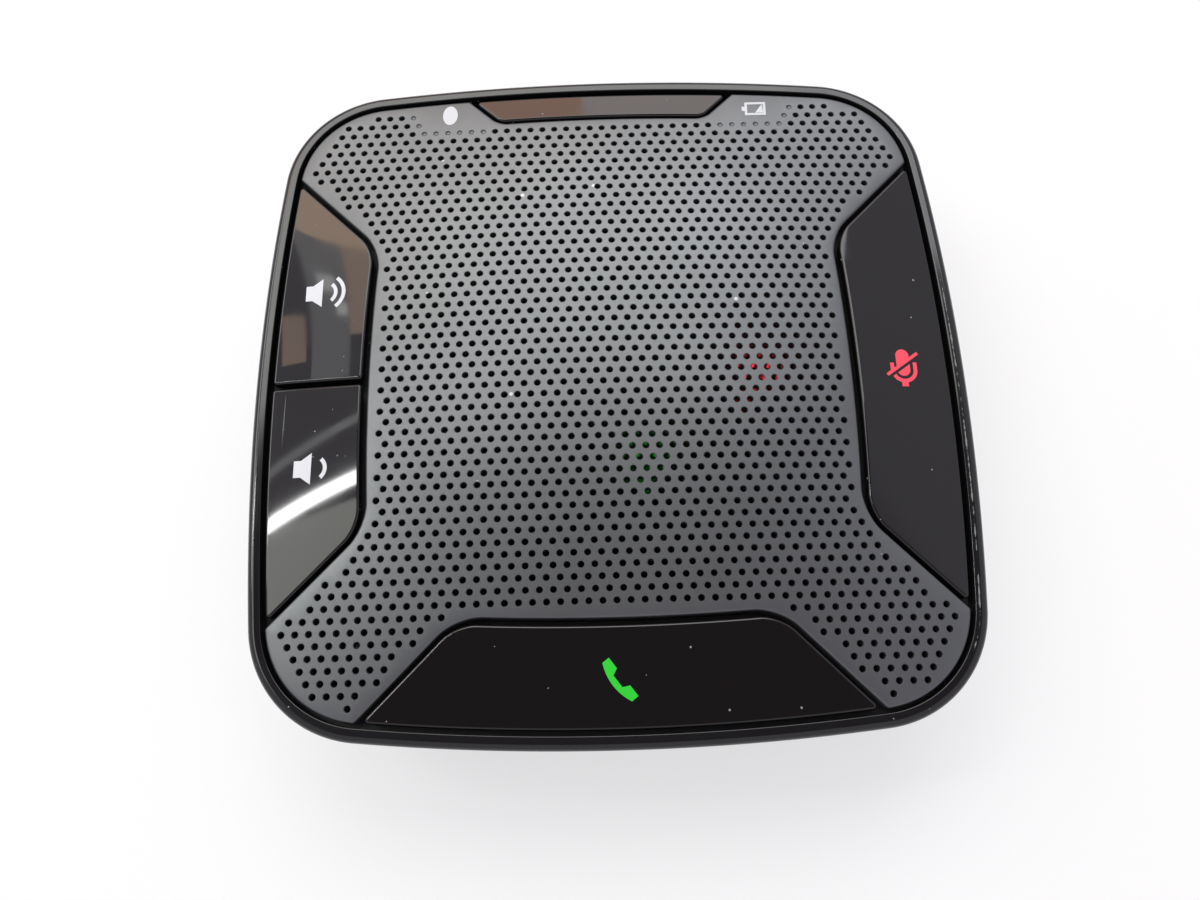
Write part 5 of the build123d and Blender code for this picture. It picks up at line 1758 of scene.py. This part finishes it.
@dataclass
class Studio:
    """Desk, world, lamps and camera."""

    crown: Crown
    eye: tuple[float, float, float] = (-1.5, -53.6, 159.3)
    across: tuple[float, float, float] = (0.99957, -0.02711, -0.01094)
    upward: tuple[float, float, float] = (0.02914, 0.95322, 0.30088)
    lens: float = 27.6
    desk_half: float = 4000.0
    ceiling: float = 1000.0
    tube_reach: float = 2.2
    tube_aim: float = 27.0
    glint_radius: float = 1.2
    desk_glow: float = 0.6
    room_low: Colour = (0.76, 0.73, 0.80)
    room_high: Colour = (0.14, 0.11, 0.13)
    room_turn: Spot = (0.86, 0.95)

    def mirrored(self, spot: Spot, distance: float) -> Array:
        """Where a lamp must be for the camera to see it mirrored in the crown at a spot.

        The sight line d is turned about the crown's normal n to d - 2 (d . n) n, and the lamp is
        that way from the spot, at the distance.

        Args:
            spot: A spot of the crown, in plan.
            distance: How far off the lamp is.

        Returns:
            The lamp's place.
        """
        x, y = (np.array([value]) for value in spot)
        point = np.array([spot[0], spot[1], self.crown.height(x, y)[0]])
        normal = self.crown.normal(x, y)[0]
        sight = point - np.array(self.eye)
        sight = sight / np.linalg.norm(sight)
        return point + distance * (sight - 2 * sight.dot(normal) * normal)

    def camera(self) -> None:
        """Place the camera at the fitted viewpoint."""
        data = bpy.data.cameras.new("camera")
        data.lens, data.sensor_width = self.lens, 36.0
        data.clip_start, data.clip_end = 0.01, 100.0
        made = linked("camera", data)
        x, y = (Vector(axis).normalized() for axis in (self.across, self.upward))
        z = x.cross(y).normalized()
        made.matrix_world = standing((x, z.cross(x), z), Vector(self.eye))
        bpy.context.scene.camera = made

    def desk(self) -> None:
        """A pale desk under the object, its own white added where the camera sees it."""
        half = self.desk_half * MM
        mesh = bpy.data.meshes.new("desk")
        level = CAD_BOX[0][2] - 0.00002
        corners = [(x * half, y * half, level) for x, y in ((-1, -1), (1, -1), (1, 1), (-1, 1))]
        mesh.from_pydata(corners, [], [(0, 1, 2, 3)])
        desk = linked("desk", mesh)
        made = bpy.data.materials.new("desk_white")
        made.use_nodes = True
        made.node_tree.nodes.clear()
        tree = Tree(made.node_tree)
        place = tree.add("ShaderNodeTexCoord").outputs["Object"]
        noise = tree.add("ShaderNodeTexNoise", {"Vector": place, "Scale": 12.0, "Detail": 3.0})
        tone = tree.mix(noise.outputs[0], (0.80, 0.80, 0.81, 1.0), (0.84, 0.84, 0.84, 1.0))
        shader = tree.add("ShaderNodeBsdfPrincipled", {"Base Color": tone, "Roughness": 0.6})
        glow = tree.add("ShaderNodeEmission", {"Color": (1.0, 1.0, 1.0, 1.0), "Strength": 1.0})
        path = tree.add("ShaderNodeLightPath")
        share = tree.math("MULTIPLY", path.outputs["Is Camera Ray"], self.desk_glow)
        both = tree.add("ShaderNodeMixShader", {0: share, 1: shader.outputs[0], 2: glow.outputs[0]})
        tree.add("ShaderNodeOutputMaterial", {"Surface": both.outputs[0]})
        mesh.materials.append(made)

    def world(self) -> None:
        """A room that is pale near the horizon and dim overhead, and white to the camera."""
        made = bpy.data.worlds.new("room")
        bpy.context.scene.world = made
        made.use_nodes = True
        made.node_tree.nodes.clear()
        tree = Tree(made.node_tree)
        way = tree.add("ShaderNodeTexCoord").outputs["Generated"]
        parts = tree.add("ShaderNodeSeparateXYZ", {0: way})
        high = tree.ramp(parts.outputs[2], *self.room_turn)
        shade = tree.mix(high, (*self.room_low, 1.0), (*self.room_high, 1.0))
        path = tree.add("ShaderNodeLightPath")
        colour = tree.mix(path.outputs["Is Camera Ray"], shade, (1.0, 1.0, 1.0, 1.0))
        glow = tree.add("ShaderNodeBackground", {"Color": colour, "Strength": 1.0})
        tree.add("ShaderNodeOutputWorld", {"Surface": glow.outputs[0]})

    def panel(self, panel: Panel) -> None:
        """Hang one rectangular lamp that faces straight down from the ceiling.

        Args:
            panel: Its place and its light.
        """
        size = (panel.across[1] - panel.across[0]) * MM, (panel.along[1] - panel.along[0]) * MM
        made = sheet_lamp(panel.name, size, panel.radiance, panel.colour)
        middle = sum(panel.across) / 2, sum(panel.along) / 2, self.ceiling - panel.drop
        made.location = Vector(middle) * MM

    def tube(self, name: str, first: Spot, second: Spot, distance: float, width: float,
             radiance: float) -> None:
        """Hang a long lamp that is mirrored along the line between two spots, and past both.

        Args:
            name: Its name.
            first: Where one part of it is mirrored in the crown.
            second: Where another part is.
            distance: How far off it is.
            width: Its width.
            radiance: How bright it looks, where 1 is white.
        """
        ends = [self.mirrored(first, distance), self.mirrored(second, distance)]
        middle = (ends[0] + ends[1]) / 2
        along = Vector(ends[1] - ends[0])
        aim = Vector(((first[0] + second[0]) / 2, (first[1] + second[1]) / 2, self.tube_aim))
        z = (Vector(middle) - aim).normalized()
        x = (along - along.dot(z) * z).normalized()
        size = along.length * self.tube_reach * MM, width * MM
        made = sheet_lamp(name, size, radiance, (1.0, 1.0, 1.0))
        made.matrix_world = standing((x, z.cross(x), z), Vector(middle))

    def glint(self, name: str, at: Sequence[float], power: float, colour: Colour) -> None:
        """Put one small glowing lamp under the grille.

        Args:
            name: Its name.
            at: Its place.
            power: Its power, in watts.
            colour: Its colour.
        """
        data = bpy.data.lights.new(name, "POINT")
        data.energy, data.color, data.shadow_soft_size = power, colour, self.glint_radius * MM
        made = linked(name, data, seen=False)
        made.location = Vector(at) * MM

    def build(self) -> None:
        """Set up the whole studio."""
        self.camera()
        self.desk()
        self.world()
        for panel in PANELS:
            self.panel(panel)
        self.tube("ceiling_tube", (-51.0, -22.0), (-39.0, -15.6), 900.0, 19.0, 42.0)
        self.tube("faint_tube", (-50.1, -12.8), (-39.8, -6.6), 900.0, 12.0, 2.0)
        self.glint("red_glint", (23.0, -1.0, 24.2), 0.0006, (1.0, 0.03, 0.06))
        self.glint("green_glint", (5.0, -14.0, 23.0), 0.00007, (0.05, 1.0, 0.1))
        bpy.context.scene.view_settings.view_transform = "Standard"


# ---- The whole object ------------------------------------------------------------------------


@dataclass
class Speakerphone:
    """The whole object."""

    outline: Outline = field(default_factory=Outline)
    crown: Crown = field(default_factory=Crown)
    keys: Recess = Recess(37.1, 13.4, 8.7)
    plate: Recess = Recess(47.0, 29.2, 3.0)

    def build(self) -> None:
        """Make every new piece in order."""
        Housing(self.outline).build()
        Bezel(self.outline).build()
        Grille(self.outline, self.crown, self.keys, self.plate).build()
        shared = (self.outline, self.crown, self.keys)
        Key("volume_up_cap", "volume_up_key", Side.LEFT, *shared, "volume_up_button", high=-0.4,
            legs=(-20.0, -4.6), plunger=-12.0).build()
        Key("volume_down_cap", "volume_down_key", Side.LEFT, *shared, "volume_down_button", low=0.4,
            legs=(4.6, 20.0), plunger=12.0).build()
        Key("mute_cap", "mute_key", Side.RIGHT, *shared, "mute_button", legs=(-17.0, 17.0),
            plunger=9.0).build()
        Key("call_cap", "call_key", Side.FRONT, *shared, "call_button", legs=(-17.0, 17.0),
            plunger=9.0).build()
        NamePlate("plate_cap", "name_plate", Side.BACK, self.outline, self.crown, self.plate,
                  "case").build()
        Signs(self.crown).build()


def dress_frame() -> None:
    """Give each CAD node that still shows the finish of its material slot."""
    slots = {part["node"]: part["material_slot"] for part in frame["record"]["subparts"]}
    for name, node in frame["nodes"].items():
        finish = PLAIN_SLOTS[slots[name]]
        node.data.materials.clear()
        node.data.materials.append(finish.material())
        LOG.info("%s: finish %s", name, finish.name)


def main() -> None:
    """Build the studio and the object."""
    logging.basicConfig(level=logging.INFO, format="%(message)s")
    Studio(Crown()).build()
    dress_frame()
    Speakerphone().build()


if __name__ == "__main__":
    main()
